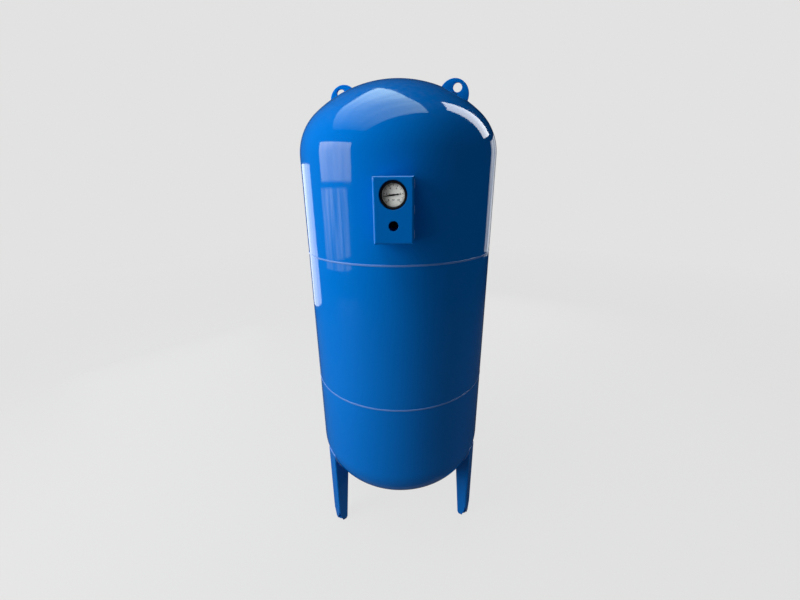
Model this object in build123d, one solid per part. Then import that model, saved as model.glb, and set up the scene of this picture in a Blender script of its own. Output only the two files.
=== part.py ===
from build123d import *
from math import acos, asin, cos, degrees, pi, radians, sin, sqrt, tan
import os

# Air receiver tank with a rubber bladder: a welded three-course pressure vessel on three
# legs, with a guarded pressure gauge and charging valve at the front and a flanged water
# connection underneath.  Millimetres, +Z up.  The origin is on the floor, on the vessel's
# axis, and the gauge faces -Y.  Azimuths are counted from -Y towards +X.

# ---- vessel
RADIUS = 325.0            # outer radius of the vessel
WALL = 3.5                # plate thickness of the heads and the shell
CROWN_RADIUS = 405.0      # outer crown radius of both dished heads
KNUCKLE_RADIUS = 165.0    # outer knuckle radius of both dished heads
LOWER_TANGENT = 377.0     # height where the lower head turns into its straight skirt
LOWER_SEAM = 650.0        # girth weld between the lower head and the middle shell
UPPER_SEAM = 1131.0       # girth weld between the middle shell and the upper head
UPPER_TANGENT = 1433.0    # height where the upper head's skirt turns into its knuckle
WELD_WIDTH = 6.0          # width of a girth weld
WELD_CROWN = 1.3          # how far a girth weld stands proud
JOGGLE_LENGTH = 26.0      # how far a head's set-in edge reaches inside the shell
FIT_GAP = 0.15            # gap between a set-in edge and the shell round it
SEAM_AZIMUTH = 150.0      # where the rolled shell's own long seam lies
SEAM_WIDTH = 5.0          # width of the long seam

# ---- legs
LEG_AZIMUTHS = {"right_leg": 64.0, "rear_leg": 184.0, "left_leg": 304.0}
LEG_SHEET = 4.0           # plate thickness of a folded leg
LEG_WIDTH = 58.0          # width over a leg's two flanges
LEG_TOP = 347.0           # height of the top edge of a leg's outer face
LEG_TAPER_TOP = 262.0     # height above which the flanges no longer widen
LEG_DEPTH_TOP = 54.0      # flange depth where it meets the vessel
LEG_DEPTH_FOOT = 34.0     # flange depth at the floor
LEG_FOLD = 6.0            # outside radius of a leg's folds
CORNER_CUT = (15.0, 22.0, 48.0)  # lower fold corners: width in flange and face, height
HEEL_CUT = (5.0, 9.0)     # flange's inner lower corner: width, height
FOOT_THICK = 5.0          # thickness of the foot plate between the flanges
FOOT_INNER = 280.0        # radius of a foot plate's inner edge
ANCHOR_RADIUS = 300.0     # pitch-circle radius of the anchor holes
ANCHOR_HOLE = 7.0         # anchor hole radius

# ---- lifting eyes
LUG_AZIMUTHS = {"right_lifting_eye": 82.0, "left_lifting_eye": 262.0}
LUG_FOOT_RADIUS = 181.0   # distance of an eye's centre from the axis, on the crown
LUG_RADIUS = 47.0         # outline radius of an eye plate
LUG_THICK = 10.0          # plate thickness
LUG_HOLE = 14.0           # hole radius
LUG_HOLE_RISE = 24.0      # hole centre above the crown, along its normal
BEAD = 4.0                # leg length of a fillet weld

# ---- gauge guard
GUARD_WIDTH = 102.0
GUARD_HEIGHT = 164.0
GUARD_CENTRE = 1284.0     # height of the guard's middle
GUARD_FRONT = 395.0       # distance of its front face from the vessel's axis
GUARD_SHEET = 2.0
GUARD_FOLD = 6.0          # outside radius of its folds
GUARD_SLIT = 0.6          # open corner between two folded flaps
GAUGE_WINDOW = 35.0       # radius of the hole the gauge shows through
VALVE_WINDOW = 12.5       # radius of the hole over the charging valve
HOLE_EDGE = 0.9           # rounding on the front edge of both holes
GAUGE_HEIGHT = 1322.0     # height of the gauge's centre
VALVE_HEIGHT = 1248.0     # height of the charging valve

# ---- threaded sockets in the upper head's skirt
SOCKET_RADIUS = 11.0
SOCKET_INSIDE = 316.0     # distance of a socket's inner end from the axis
SOCKET_FACE = 338.0       # distance of its outer face from the axis
PIPE_THREAD = 6.5         # G1/4 thread, drawn at its major radius
VALVE_THREAD = 5.7        # valve body thread radius
VALVE_PASSAGE = 1.5       # air passage through the valve body

# ---- pressure gauge, depths as distances from the vessel's axis
ENTRY_DROP = 18.5         # the back entry lies this far below the gauge's centre
CASE_BACK = 360.0
CASE_RIM = 386.4
CASE_RADIUS = 32.0
CASE_SHEET = 0.8
BEZEL_FRONT = 392.5
BEZEL_RADIUS = 33.5
BEZEL_EYE = 27.4          # radius of the bezel's opening
WINDOW_FACES = (388.0, 390.0)
DIAL_FACE = 380.6
DIAL_THICK = 0.6
DIAL_RADIUS = 30.8
TUBE_RADIUS = 23.0        # mean radius of the Bourdon tube
TUBE_SIZE = (2.2, 5.5)    # radial and axial size of the flattened tube
TUBE_BACK = 362.5
TUBE_END = -20.0          # direction of the tube's free end, seen from the front
BACK_PLATE = (368.5, 369.5)
FRONT_PLATE = (375.5, 376.5)
SECTOR_FACES = (372.0, 373.2)
LINK_FACES = (370.6, 371.4)
SHAFT_RADIUS = 0.9
RUNNING_GAP = 0.05
MODULE = 0.4
PINION_TEETH = 12
SECTOR_TEETH = 60         # teeth on a full circle of the sector's pitch
PRESSURE_ANGLE = radians(20)
NEEDLE_REST = 188.0       # direction of the needle at rest, seen from the front
NEEDLE_ZERO = 225.0       # direction of the needle at no pressure
NEEDLE_SWEEP = 270.0      # whole scale
TAIL_RADIUS = 4.0         # lever arm of the sector's tail
TAIL_REST = -26.0         # direction of the tail at rest
PILLARS = ((-9.5, 2.0), (9.5, 2.0))

# ---- charging valve, depths as distances from the vessel's axis
STEM_RADIUS = 3.85        # tyre-valve stem
STEM_MOUTH = 366.0
CORE_RADIUS = 2.7
PIN_RADIUS = 0.7
CAP_RADIUS = 5.6

# ---- water connection and bladder
NECK_RADIUS = 75.0        # outside of the neck ring in the lower head
NECK_BORE = 60.0
FLANGE_RADIUS = 105.0
FLANGE_TOP = 138.0
FLANGE_THICK = 14.0
LIP_THICK = 4.0           # bladder lip clamped between the flanges
COUNTER_THICK = 12.0
BOLT_CIRCLE = 92.0
BOLT_COUNT = 8
BOLT_RADIUS = 6.0
BOLT_HOLE = 6.75
WATER_BORE = 19.5         # G1 1/4 thread, drawn at its minor radius
WATER_BOSS = 28.0
WATER_MOUTH = 70.0        # height of the water connection's open end
BLADDER_WALL = 3.0
TOP_RING_RADIUS = 30.0
TOP_RING_BORE = 24.0
TOP_RING_RISE = 1.0       # how far the top ring stands above the crown
TOP_GASKET_THICK = 1.5
PLUG_HEAD = 4.0           # thickness of the hanger plug's head
PLUG_SOCKET = 3.0         # depth of the hexagon socket in it

HEAD_DEPTH = CROWN_RADIUS - sqrt((CROWN_RADIUS - KNUCKLE_RADIUS) ** 2
                                 - (RADIUS - KNUCKLE_RADIUS) ** 2)
CROWN_DROP = CROWN_RADIUS - HEAD_DEPTH      # crown centre behind the tangent line
UPPER_APEX = UPPER_TANGENT + HEAD_DEPTH
LOWER_APEX = LOWER_TANGENT - HEAD_DEPTH

nodes = {}


# ---------------------------------------------------------------- helpers
def line(a, b):
    return Edge.make_line((a[0], 0, a[1]), (b[0], 0, b[1]))


def arc(a, middle, b):
    return Edge.make_three_point_arc(*[(p[0], 0, p[1]) for p in (a, middle, b)])


def turned(edges):
    """Revolve a closed outline of edges, drawn as (radius, height), about Z."""
    return revolve(Face(Wire(edges)), Axis.Z)


def turned_points(points):
    corners = list(points) + [points[0]]
    return turned([line(a, b) for a, b in zip(corners, corners[1:])])


def ring(outer, inner, low, high):
    """Plain ring or disc about Z."""
    solid = Pos(0, 0, (low + high) / 2) * Cylinder(outer, high - low)
    return solid - Pos(0, 0, (low + high) / 2) * Cylinder(inner, high - low) if inner else solid


def block(x, y, z):
    """Box between two limits on each axis."""
    size = [b - a for a, b in (x, y, z)]
    middle = [(a + b) / 2 for a, b in (x, y, z)]
    return Pos(*middle) * Box(*size)


def spot(azimuth):
    """Turn that carries something built on +X round to an azimuth."""
    return Rot(0, 0, azimuth - 90)


def front(height):
    """Frame on the front of the vessel: X right, Y up, Z out from the axis."""
    return Location(Plane(origin=(0, 0, height), x_dir=(1, 0, 0), z_dir=(0, -1, 0)))


def flat(points, low, high):
    """Plate from a closed outline in a front frame, between two depths."""
    outline = Polyline(*points, close=True)
    return Pos(0, 0, low) * extrude(make_face(outline), high - low)


def polar(radius, angle, centre=(0, 0)):
    return (centre[0] + radius * cos(radians(angle)), centre[1] + radius * sin(radians(angle)))


# ---------------------------------------------------------------- vessel
def dome_points(offset):
    """Apex, crown middle, junction, knuckle middle and tangent, above the tangent line."""
    crown, knuckle = CROWN_RADIUS + offset, KNUCKLE_RADIUS + offset
    lean = asin((RADIUS - KNUCKLE_RADIUS) / (CROWN_RADIUS - KNUCKLE_RADIUS))
    bend = lean + (pi / 2 - lean) / 2
    centre = RADIUS - KNUCKLE_RADIUS
    return ((0, crown - CROWN_DROP),
            (crown * sin(lean / 2), crown * cos(lean / 2) - CROWN_DROP),
            (crown * sin(lean), crown * cos(lean) - CROWN_DROP),
            (centre + knuckle * sin(bend), knuckle * cos(bend)),
            (RADIUS + offset, 0))


def dome_edges(offset):
    apex, crown, junction, knuckle, tangent = dome_points(offset)
    return [arc(apex, crown, junction), arc(junction, knuckle, tangent)], apex, tangent


def head(skirt):
    """Dished head, crown up, tangent line at z = 0, with a set-in edge below its skirt."""
    outer, outer_apex, outer_tangent = dome_edges(0)
    inner, inner_apex, inner_tangent = dome_edges(-WALL)
    step = WALL + FIT_GAP
    full = -skirt + WELD_WIDTH / 2
    ramp = full - WELD_WIDTH
    tip = -skirt - JOGGLE_LENGTH
    edge = [(RADIUS, 0), (RADIUS, full), (RADIUS - step, ramp), (RADIUS - step, tip),
            (RADIUS - step - WALL, tip), (RADIUS - step - WALL, ramp),
            (RADIUS - WALL, full), (RADIUS - WALL, 0)]
    skirt_edges = [line(a, b) for a, b in zip(edge, edge[1:])]
    return turned(outer + skirt_edges + inner + [line(inner_apex, outer_apex)])


def envelope(offset=0.0):
    """The whole vessel as one filled solid, grown by an offset."""
    cap, apex, tangent = dome_edges(offset)
    upper = turned(cap + [line(tangent, (0, 0)), line((0, 0), apex)])
    barrel = ring(RADIUS + offset, 0, LOWER_TANGENT, UPPER_TANGENT)
    return barrel + Pos(0, 0, UPPER_TANGENT) * upper + Pos(0, 0, LOWER_TANGENT) * Rot(180, 0, 0) * upper


def girth_weld(height):
    """Bead that fills the groove over a set-in edge; the set-in side is below."""
    half = WELD_WIDTH / 2
    groove = RADIUS - WALL - FIT_GAP
    low, high, root = (RADIUS, -half), (RADIUS, half), (groove, -half)
    bead = turned([arc(high, (RADIUS + WELD_CROWN, 0), low), line(low, root), line(root, high)])
    return Pos(0, 0, height) * bead


def make_vessel():
    upper = Pos(0, 0, UPPER_TANGENT) * head(UPPER_TANGENT - UPPER_SEAM)
    lower = Pos(0, 0, LOWER_TANGENT) * Rot(180, 0, 0) * head(LOWER_SEAM - LOWER_TANGENT)
    for height in (GAUGE_HEIGHT - ENTRY_DROP, VALVE_HEIGHT):
        upper -= front(height) * ring(SOCKET_RADIUS, 0, RADIUS - 20, RADIUS + 20)
    nodes["upper_head"] = upper - ring(TOP_RING_RADIUS, 0, UPPER_APEX - 30, UPPER_APEX + 10)
    nodes["lower_head"] = lower - ring(NECK_RADIUS, 0, LOWER_APEX - 10, LOWER_APEX + 30)

    low, high = LOWER_SEAM + WELD_WIDTH / 2, UPPER_SEAM - WELD_WIDTH / 2
    shell = ring(RADIUS, RADIUS - WALL, low, high)
    groove = spot(SEAM_AZIMUTH) * block((RADIUS - WALL - 1, RADIUS + 1),
                                        (-SEAM_WIDTH / 2, SEAM_WIDTH / 2), (low, high))
    crown = spot(SEAM_AZIMUTH) * Pos(RADIUS - SEAM_WIDTH, 0, (low + high) / 2) * Cylinder(
        SEAM_WIDTH + WELD_CROWN, high - low)
    nodes["middle_shell"] = shell - groove
    seam_fill = ring(RADIUS + WELD_CROWN, RADIUS - WALL, low, high) & groove & crown
    nodes["shell_seam_weld"] = seam_fill
    nodes["upper_girth_weld"] = girth_weld(UPPER_SEAM)
    nodes["lower_girth_weld"] = Pos(0, 0, 2 * LOWER_SEAM) * mirror(girth_weld(LOWER_SEAM), Plane.XY)


# ---------------------------------------------------------------- legs and lifting eyes
def side_plate(points, y):
    """Plate from an outline in (radius, height), between two tangential limits."""
    outline = Polyline(*[(x, 0, z) for x, z in points], close=True)
    return Pos(0, y[0], 0) * extrude(make_face(outline), y[1] - y[0], dir=(0, 1, 0))


def leg(grow=0.0):
    """Folded channel leg on +X, before it is cut to the vessel."""
    face = RADIUS
    half = LEG_WIDTH / 2
    inner_top = face - LEG_DEPTH_TOP
    inner_foot = face - LEG_DEPTH_FOOT
    outer = block((inner_top - 40, face + grow), (-half - grow, half + grow), (0, LEG_TOP + grow))
    outer = fillet(outer.edges().filter_by(Axis.Z).group_by(Axis.X)[-1], LEG_FOLD)
    inner = block((inner_top - 41, face - LEG_SHEET - grow),
                  (-half + LEG_SHEET + grow, half - LEG_SHEET - grow), (-1, LEG_TOP + grow + 1))
    inner = fillet(inner.edges().filter_by(Axis.Z).group_by(Axis.X)[-1], LEG_FOLD - LEG_SHEET)
    taper = [(inner_top - 50, -1), (inner_foot, -1), (inner_foot, 0), (inner_top, LEG_TAPER_TOP),
             (inner_top, LEG_TOP + 10), (inner_top - 50, LEG_TOP + 10)]
    return outer - inner - side_plate(taper, (-half - 9, half + 9))


def trimmed_leg():
    """A leg with its lower corners cut back."""
    channel = leg()
    face, half = RADIUS, LEG_WIDTH / 2
    flange_width, web_width, height = CORNER_CUT
    heel_width, heel_height = HEEL_CUT
    heel = face - LEG_DEPTH_FOOT
    channel -= side_plate([(heel - 9, -1), (heel + heel_width, -1), (heel + heel_width, 0),
                           (heel, heel_height), (heel - 9, heel_height)], (-half - 9, half + 9))
    flange_cut = [(face + 1, -1), (face + 1, height), (face, height), (face - flange_width, 0),
                  (face - flange_width, -1)]
    web_cut = [(half + 1, -1), (half + 1, height), (half, height), (half - web_width, 0),
               (half - web_width, -1)]
    web_face = make_face(Polyline(*[(0, y, z) for y, z in web_cut], close=True))
    web_prism = Pos(RADIUS - LEG_FOLD, 0, 0) * extrude(web_face, 2 * LEG_FOLD, dir=(1, 0, 0))
    for side in (1, -1):
        low, high = sorted((side * (half - LEG_FOLD), side * (half + 1)))
        channel -= side_plate(flange_cut, (low, high))
        channel -= web_prism if side == 1 else mirror(web_prism, Plane.XZ)
    return channel


def foot_plate():
    half = LEG_WIDTH / 2 - LEG_SHEET
    clip = 12.0
    plate = block((FOOT_INNER, RADIUS - LEG_SHEET), (-half, half), (0, FOOT_THICK))
    plate = chamfer(plate.edges().filter_by(Axis.Z).group_by(Axis.X)[-1], clip)
    return plate - Pos(ANCHOR_RADIUS, 0, FOOT_THICK / 2) * Cylinder(ANCHOR_HOLE, FOOT_THICK)


def lug_plate(grow=0.0):
    """Lifting-eye plate on +X: a disc standing on the crown, with its hole."""
    lean = degrees(asin(LUG_FOOT_RADIUS / CROWN_RADIUS))
    base_height = UPPER_TANGENT - CROWN_DROP + CROWN_RADIUS * cos(radians(lean))
    thick = LUG_THICK + 2 * grow
    disc = Rot(90, 0, 0) * Cylinder(LUG_RADIUS + grow, thick)
    hole = Pos(0, 0, LUG_HOLE_RISE) * Rot(90, 0, 0) * Cylinder(LUG_HOLE, thick)
    return Pos(LUG_FOOT_RADIUS, 0, base_height) * Rot(0, lean, 0) * (disc - hole)


def make_supports():
    vessel = envelope()
    layer = envelope(BEAD) - vessel
    one_leg = trimmed_leg() - vessel
    leg_bead = (leg(BEAD) & layer) - leg() - ring(RADIUS + BEAD, RADIUS, 0, UPPER_APEX)
    one_foot = foot_plate() - one_leg
    for name, azimuth in LEG_AZIMUTHS.items():
        nodes[name] = spot(azimuth) * one_leg
        nodes[name.replace("leg", "foot_plate")] = spot(azimuth) * one_foot
    nodes["leg_welds"] = Compound(children=[spot(a) * s for a in LEG_AZIMUTHS.values()
                                            for s in leg_bead.solids()])

    one_lug = lug_plate() - vessel
    hole_free = LUG_RADIUS - LUG_HOLE_RISE
    lug_bead = (lug_plate(BEAD) & layer) - lug_plate() - Pos(0, 0, hole_free) * lug_plate(-1)
    for name, azimuth in LUG_AZIMUTHS.items():
        nodes[name] = spot(azimuth) * one_lug
    nodes["lifting_eye_welds"] = Compound(children=[spot(a) * s for a in LUG_AZIMUTHS.values()
                                                    for s in lug_bead.solids()])


# ---------------------------------------------------------------- gauge guard and sockets
def make_guard():
    centre = front(GUARD_CENTRE)
    half_w, half_h = GUARD_WIDTH / 2, GUARD_HEIGHT / 2
    inner_w, inner_h = half_w - GUARD_SHEET, half_h - GUARD_SHEET
    back = RADIUS - 20
    outer = block((-half_w, half_w), (-half_h, half_h), (back, GUARD_FRONT))
    outer = fillet(outer.edges().group_by(Axis.Z)[-1], GUARD_FOLD)
    inner = block((-inner_w, inner_w), (-inner_h, inner_h), (back - 1, GUARD_FRONT - GUARD_SHEET))
    inner = fillet(inner.edges().group_by(Axis.Z)[-1], GUARD_FOLD - GUARD_SHEET)
    cover = outer - inner
    for side_x in (-1, 1):
        for side_y in (-1, 1):
            slit = Pos(side_x * (inner_w - GUARD_SLIT / 2), side_y * half_h, back) * Box(
                GUARD_SLIT, 2 * GUARD_SHEET, 2 * (GUARD_FRONT - GUARD_FOLD - back))
            cover -= slit
    for radius, height in ((GAUGE_WINDOW, GAUGE_HEIGHT), (VALVE_WINDOW, VALVE_HEIGHT)):
        cover -= Pos(0, height - GUARD_CENTRE, GUARD_FRONT) * Cylinder(radius, 20)
    rims = cover.edges().filter_by(GeomType.CIRCLE).filter_by(
        lambda e: e.radius > VALVE_WINDOW - 1 and abs(e.center().Z - GUARD_FRONT) < 0.01)
    cover = fillet(rims, HOLE_EDGE)
    guard = centre * cover - envelope()
    nodes["gauge_guard"] = guard

    stitch, count = 26.0, 3
    depth = sqrt(RADIUS ** 2 - half_w ** 2)
    beads = []
    solid_guard = centre * outer
    for side in (-1, 1):
        for k in range(count):
            height = GUARD_CENTRE + (k - (count - 1) / 2) * (GUARD_HEIGHT - stitch - 8) / (count - 1)
            bead = Pos(side * half_w, -depth, height) * (
                Cylinder(BEAD, stitch) + Pos(0, 0, stitch / 2) * Sphere(BEAD)
                + Pos(0, 0, -stitch / 2) * Sphere(BEAD))
            beads.append(bead - solid_guard - envelope())
    nodes["guard_welds"] = Compound(children=[s for bead in beads for s in bead.solids()])


def make_sockets():
    places = {"gauge_socket": (GAUGE_HEIGHT - ENTRY_DROP, PIPE_THREAD),
              "valve_socket": (VALVE_HEIGHT, VALVE_THREAD)}
    for name, (height, bore) in places.items():
        nodes[name] = front(height) * ring(SOCKET_RADIUS, bore, SOCKET_INSIDE, SOCKET_FACE)


# ---------------------------------------------------------------- pressure gauge
def gear_outline(teeth, addendum, dedendum, backlash, first, count):
    """Involute teeth as a list of points, tooth number `first` centred on angle 0."""
    pitch = MODULE * teeth / 2
    base = pitch * cos(PRESSURE_ANGLE)
    tip, root = pitch + addendum, pitch - dedendum
    half = pi / (2 * teeth) - backlash / (2 * pitch) + tan(PRESSURE_ANGLE) - PRESSURE_ANGLE
    points = []
    steps = 4
    for k in range(first, first + count):
        middle = 2 * pi * k / teeth
        flank = []
        start = max(base, root)
        for i in range(steps + 1):
            radius = start + (tip - start) * i / steps
            roll = acos(min(1.0, base / radius))
            flank.append((radius, half - (tan(roll) - roll)))
        if root < base:
            flank.insert(0, (root, flank[0][1]))
        for radius, turn in flank:
            points.append(polar(radius, degrees(middle - turn)))
        for radius, turn in reversed(flank):
            points.append(polar(radius, degrees(middle + turn)))
    return points


def make_gauge_body():
    centre = front(GAUGE_HEIGHT)
    entry = Pos(0, -ENTRY_DROP, 0)
    case_inner = CASE_RADIUS - CASE_SHEET
    cup = turned_points([(0, CASE_BACK), (CASE_RADIUS - 1.5, CASE_BACK),
                         (CASE_RADIUS, CASE_BACK + 1.5), (CASE_RADIUS, CASE_RIM),
                         (case_inner, CASE_RIM), (case_inner, CASE_BACK + CASE_SHEET + 1),
                         (case_inner - 1, CASE_BACK + CASE_SHEET), (0, CASE_BACK + CASE_SHEET)])
    screws = [(side * 4.2, -ENTRY_DROP + 8.6) for side in (-1, 1)]
    screw_radius = 1.2
    cup -= entry * ring(6.0, 0, CASE_BACK - 1, CASE_BACK + 2)
    block_inside = block((-7, 7), (-ENTRY_DROP - 7, -ENTRY_DROP + 11),
                         (CASE_BACK + CASE_SHEET, BACK_PLATE[0]))
    for x, y in screws:
        cup -= Pos(x, y, 0) * ring(screw_radius, 0, CASE_BACK - 1, CASE_BACK + 2)
        block_inside -= Pos(x, y, 0) * ring(screw_radius, 0, CASE_BACK, CASE_BACK + 5)
    nodes["gauge_case"] = centre * cup
    nodes["case_screws"] = Compound(children=[
        centre * Pos(x, y, 0) * (ring(screw_radius, 0, CASE_BACK, CASE_BACK + 5)
                                 + ring(2.2, 0, CASE_BACK - 1.2, CASE_BACK)) for x, y in screws])

    hex_back = SOCKET_FACE + 1.5
    hexagon = extrude(RegularPolygon(7.0, 6, major_radius=False), 11)
    stem = entry * (ring(PIPE_THREAD, 0, SOCKET_INSIDE + 6, hex_back)
                    + Pos(0, 0, hex_back) * hexagon
                    + ring(6.0, 0, hex_back + 11, CASE_BACK + CASE_SHEET)) + block_inside
    pressure_way = ring(1.6, 0, SOCKET_INSIDE, CASE_BACK + 5)
    nodes["gauge_stem"] = centre * (stem - entry * pressure_way - bourdon_path(filled=True))
    nodes["stem_washer"] = centre * entry * ring(SOCKET_RADIUS - 1, PIPE_THREAD, SOCKET_FACE, hex_back)

    lip_round = 2.2
    bezel = turned([
        line((CASE_RADIUS, 378), (BEZEL_RADIUS, 378)),
        line((BEZEL_RADIUS, 378), (BEZEL_RADIUS, BEZEL_FRONT - lip_round)),
        arc((BEZEL_RADIUS, BEZEL_FRONT - lip_round),
            (BEZEL_RADIUS - lip_round * (1 - cos(pi / 4)), BEZEL_FRONT - lip_round * (1 - sin(pi / 4))),
            (BEZEL_RADIUS - lip_round, BEZEL_FRONT)),
        line((BEZEL_RADIUS - lip_round, BEZEL_FRONT), (BEZEL_EYE + 1.5, BEZEL_FRONT - 0.4)),
        line((BEZEL_EYE + 1.5, BEZEL_FRONT - 0.4), (BEZEL_EYE, WINDOW_FACES[1] + 0.6)),
        line((BEZEL_EYE, WINDOW_FACES[1] + 0.6), (BEZEL_EYE, WINDOW_FACES[1])),
        line((BEZEL_EYE, WINDOW_FACES[1]), (case_inner, WINDOW_FACES[1])),
        line((case_inner, WINDOW_FACES[1]), (case_inner, CASE_RIM)),
        line((case_inner, CASE_RIM), (CASE_RADIUS, CASE_RIM)),
        line((CASE_RADIUS, CASE_RIM), (CASE_RADIUS, 378))])
    nodes["gauge_bezel"] = centre * bezel
    nodes["gauge_window"] = centre * ring(case_inner, 0, *WINDOW_FACES)
    nodes["window_gasket"] = centre * ring(case_inner, BEZEL_EYE + 0.7, CASE_RIM, WINDOW_FACES[0])


def bourdon_path(filled=False):
    """C-shaped flattened tube from the stem block, clockwise to its free end."""
    radial, axial = TUBE_SIZE
    outer, inner = TUBE_RADIUS + radial / 2, TUBE_RADIUS - radial / 2
    low, high = TUBE_BACK, TUBE_BACK + axial
    body = ring(outer, inner, low, high)
    if not filled:
        skin = 0.5
        body -= ring(outer - skin, inner + skin, low + skin, high - skin)
    reach = 2 * outer
    gap = [(0, 0), (0, -reach), polar(reach, TUBE_END - 35), polar(reach, TUBE_END)]
    return body - flat(gap, low - 1, high + 1)


def make_movement():
    centre = front(GAUGE_HEIGHT)
    nodes["bourdon_tube"] = centre * bourdon_path()
    pivot = (0, -MODULE * (PINION_TEETH + SECTOR_TEETH) / 2)
    hole = SHAFT_RADIUS + RUNNING_GAP

    outline = [(-12, -19), (12, -19), (12, 4.5), (-12, 4.5)]
    for name, faces in (("movement_back_plate", BACK_PLATE), ("movement_front_plate", FRONT_PLATE)):
        plate = flat(outline, *faces)
        plate = fillet(plate.edges().filter_by(Axis.Z), 2.5)
        for x, y in ((0, 0), pivot):
            plate -= Pos(x, y, 0) * ring(hole, 0, faces[0], faces[1])
        nodes[name] = centre * plate
    pillars = [Pos(x, y, 0) * (ring(1.4, 0, BACK_PLATE[1], FRONT_PLATE[0])) for x, y in PILLARS]
    posts = [Pos(x, y, 0) * ring(1.4, 0, FRONT_PLATE[1], DIAL_FACE - DIAL_THICK) for x, y in PILLARS]
    nodes["movement_pillars"] = Compound(children=[centre * p for p in pillars + posts])

    pinion_points = gear_outline(PINION_TEETH, 0.36, 0.5, 0.07, 0, PINION_TEETH)
    low = SECTOR_FACES[0] - 0.3
    pinion = Rot(0, 0, -90 + 180 / PINION_TEETH) * flat(pinion_points, low, SECTOR_FACES[1] + 0.3)
    shaft = ring(SHAFT_RADIUS, 0, BACK_PLATE[0], 384.2)
    collar = ring(1.5, 0, 374.0, 374.9)
    nodes["pinion_shaft"] = centre * (pinion + shaft + collar)

    reach = NEEDLE_SWEEP * PINION_TEETH / SECTOR_TEETH
    before = (NEEDLE_ZERO - NEEDLE_REST) * PINION_TEETH / SECTOR_TEETH
    margin = 9.0
    pitch_angle = 360 / SECTOR_TEETH
    first = -int((reach - before + margin) / pitch_angle)
    count = -first + int((before + margin) / pitch_angle) + 1
    teeth = gear_outline(SECTOR_TEETH, 0.30, 0.5, 0.07, first, count)
    fan = Rot(0, 0, 90) * flat([(0, 0)] + teeth, *SECTOR_FACES)
    window = Rot(0, 0, 90 + (first + count / 2) * pitch_angle) * flat(
        [polar(4, -20), polar(9, -20), polar(9.6, 0), polar(9, 20), polar(4, 20)],
        SECTOR_FACES[0] - 1, SECTOR_FACES[1] + 1)
    tail = Rot(0, 0, TAIL_REST) * block((0, TAIL_RADIUS), (-1.2, 1.2), SECTOR_FACES)
    tail_pin = Pos(*polar(TAIL_RADIUS, TAIL_REST), 0) * ring(0.6, 0, LINK_FACES[0] - 0.1, SECTOR_FACES[0])
    tail_end = Pos(*polar(TAIL_RADIUS, TAIL_REST), 0) * ring(1.2, 0, *SECTOR_FACES)
    hub = ring(2.0, 0, *SECTOR_FACES) + ring(SHAFT_RADIUS, 0, BACK_PLATE[0], FRONT_PLATE[1])
    sector = fan - window + tail + tail_end + tail_pin + hub
    nodes["sector_gear"] = centre * Pos(*pivot, 0) * sector

    tail_at = polar(TAIL_RADIUS, TAIL_REST, pivot)
    tip_at = polar(TUBE_RADIUS, TUBE_END + 3)
    reach_x, reach_y = tip_at[0] - tail_at[0], tip_at[1] - tail_at[1]
    length = sqrt(reach_x ** 2 + reach_y ** 2)
    slope = degrees(acos(reach_x / length))
    bar = block((0, length), (-0.7, 0.7), LINK_FACES)
    eyes = ring(1.3, 0, *LINK_FACES)
    bar = bar + eyes + Pos(length, 0, 0) * eyes
    bar -= ring(0.6 + RUNNING_GAP, 0, *LINK_FACES)
    bar -= Pos(length, 0, 0) * ring(0.6, 0, *LINK_FACES)
    nodes["tip_link"] = centre * Pos(*tail_at, 0) * Rot(0, 0, slope) * bar
    radial, axial = TUBE_SIZE
    plug = Rot(0, 0, TUBE_END) * block(
        (TUBE_RADIUS - radial / 2 - 0.4, TUBE_RADIUS + radial / 2 + 0.4), (-2.6, 0),
        (TUBE_BACK - 0.3, TUBE_BACK + axial + 0.3))
    post_at = polar(TUBE_RADIUS, TUBE_END - 3)
    post = Pos(*post_at, 0) * ring(0.6, 0, TUBE_BACK + axial, LINK_FACES[1])
    nodes["tube_end_plug"] = centre * (plug + post)

    turns, inner, outer = 3.5, 1.5, 6.0
    steps = int(turns * 12)
    spiral = [polar(inner + 0.1 + (outer - inner) * k / steps, 360 * turns * k / steps)
              for k in range(steps + 1)]
    strip = trace(Spline(*spiral), line_width=0.16)
    nodes["hairspring"] = centre * Pos(0, 0, 374.05) * extrude(strip, 0.8)


def make_dial():
    centre = front(GAUGE_HEIGHT)
    back = DIAL_FACE - DIAL_THICK
    dial = ring(DIAL_RADIUS, 2.0, back, DIAL_FACE)
    stop_at = polar(20.0, NEEDLE_ZERO + 4.2)
    dial -= Pos(*stop_at, 0) * ring(0.5, 0, back, DIAL_FACE)
    screws = []
    for x, y in PILLARS:
        dial -= Pos(x, y, 0) * ring(0.8, 0, back, DIAL_FACE)
        head_height = 0.7
        screw = ring(0.8, 0, back, DIAL_FACE) + ring(1.5, 0, DIAL_FACE, DIAL_FACE + head_height)
        slot = block((-2, 2), (-0.2, 0.2), (DIAL_FACE + 0.35, DIAL_FACE + 1))
        screws.append(centre * Pos(x, y, 0) * (screw - Rot(0, 0, 35 * x) * slot))
    nodes["gauge_dial"] = centre * dial
    nodes["dial_screws"] = Compound(children=screws)
    nodes["stop_pin"] = centre * Pos(*stop_at, 0) * ring(0.5, 0, back, 383.6)

    low, high = 382.4, 383.0
    blade = flat([(-14.0, -1.3), (-8.0, -1.0), (0, -1.5), (25.2, -0.35), (25.2, 0.35), (0, 1.5),
                  (-8.0, 1.0), (-14.0, 1.3)], low, high)
    hub = ring(2.6, 0, low - 0.5, 384.4)
    needle = (blade + hub) - ring(SHAFT_RADIUS, 0, low - 1, 384.2)
    nodes["needle"] = centre * Rot(0, 0, NEEDLE_REST) * needle


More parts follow.
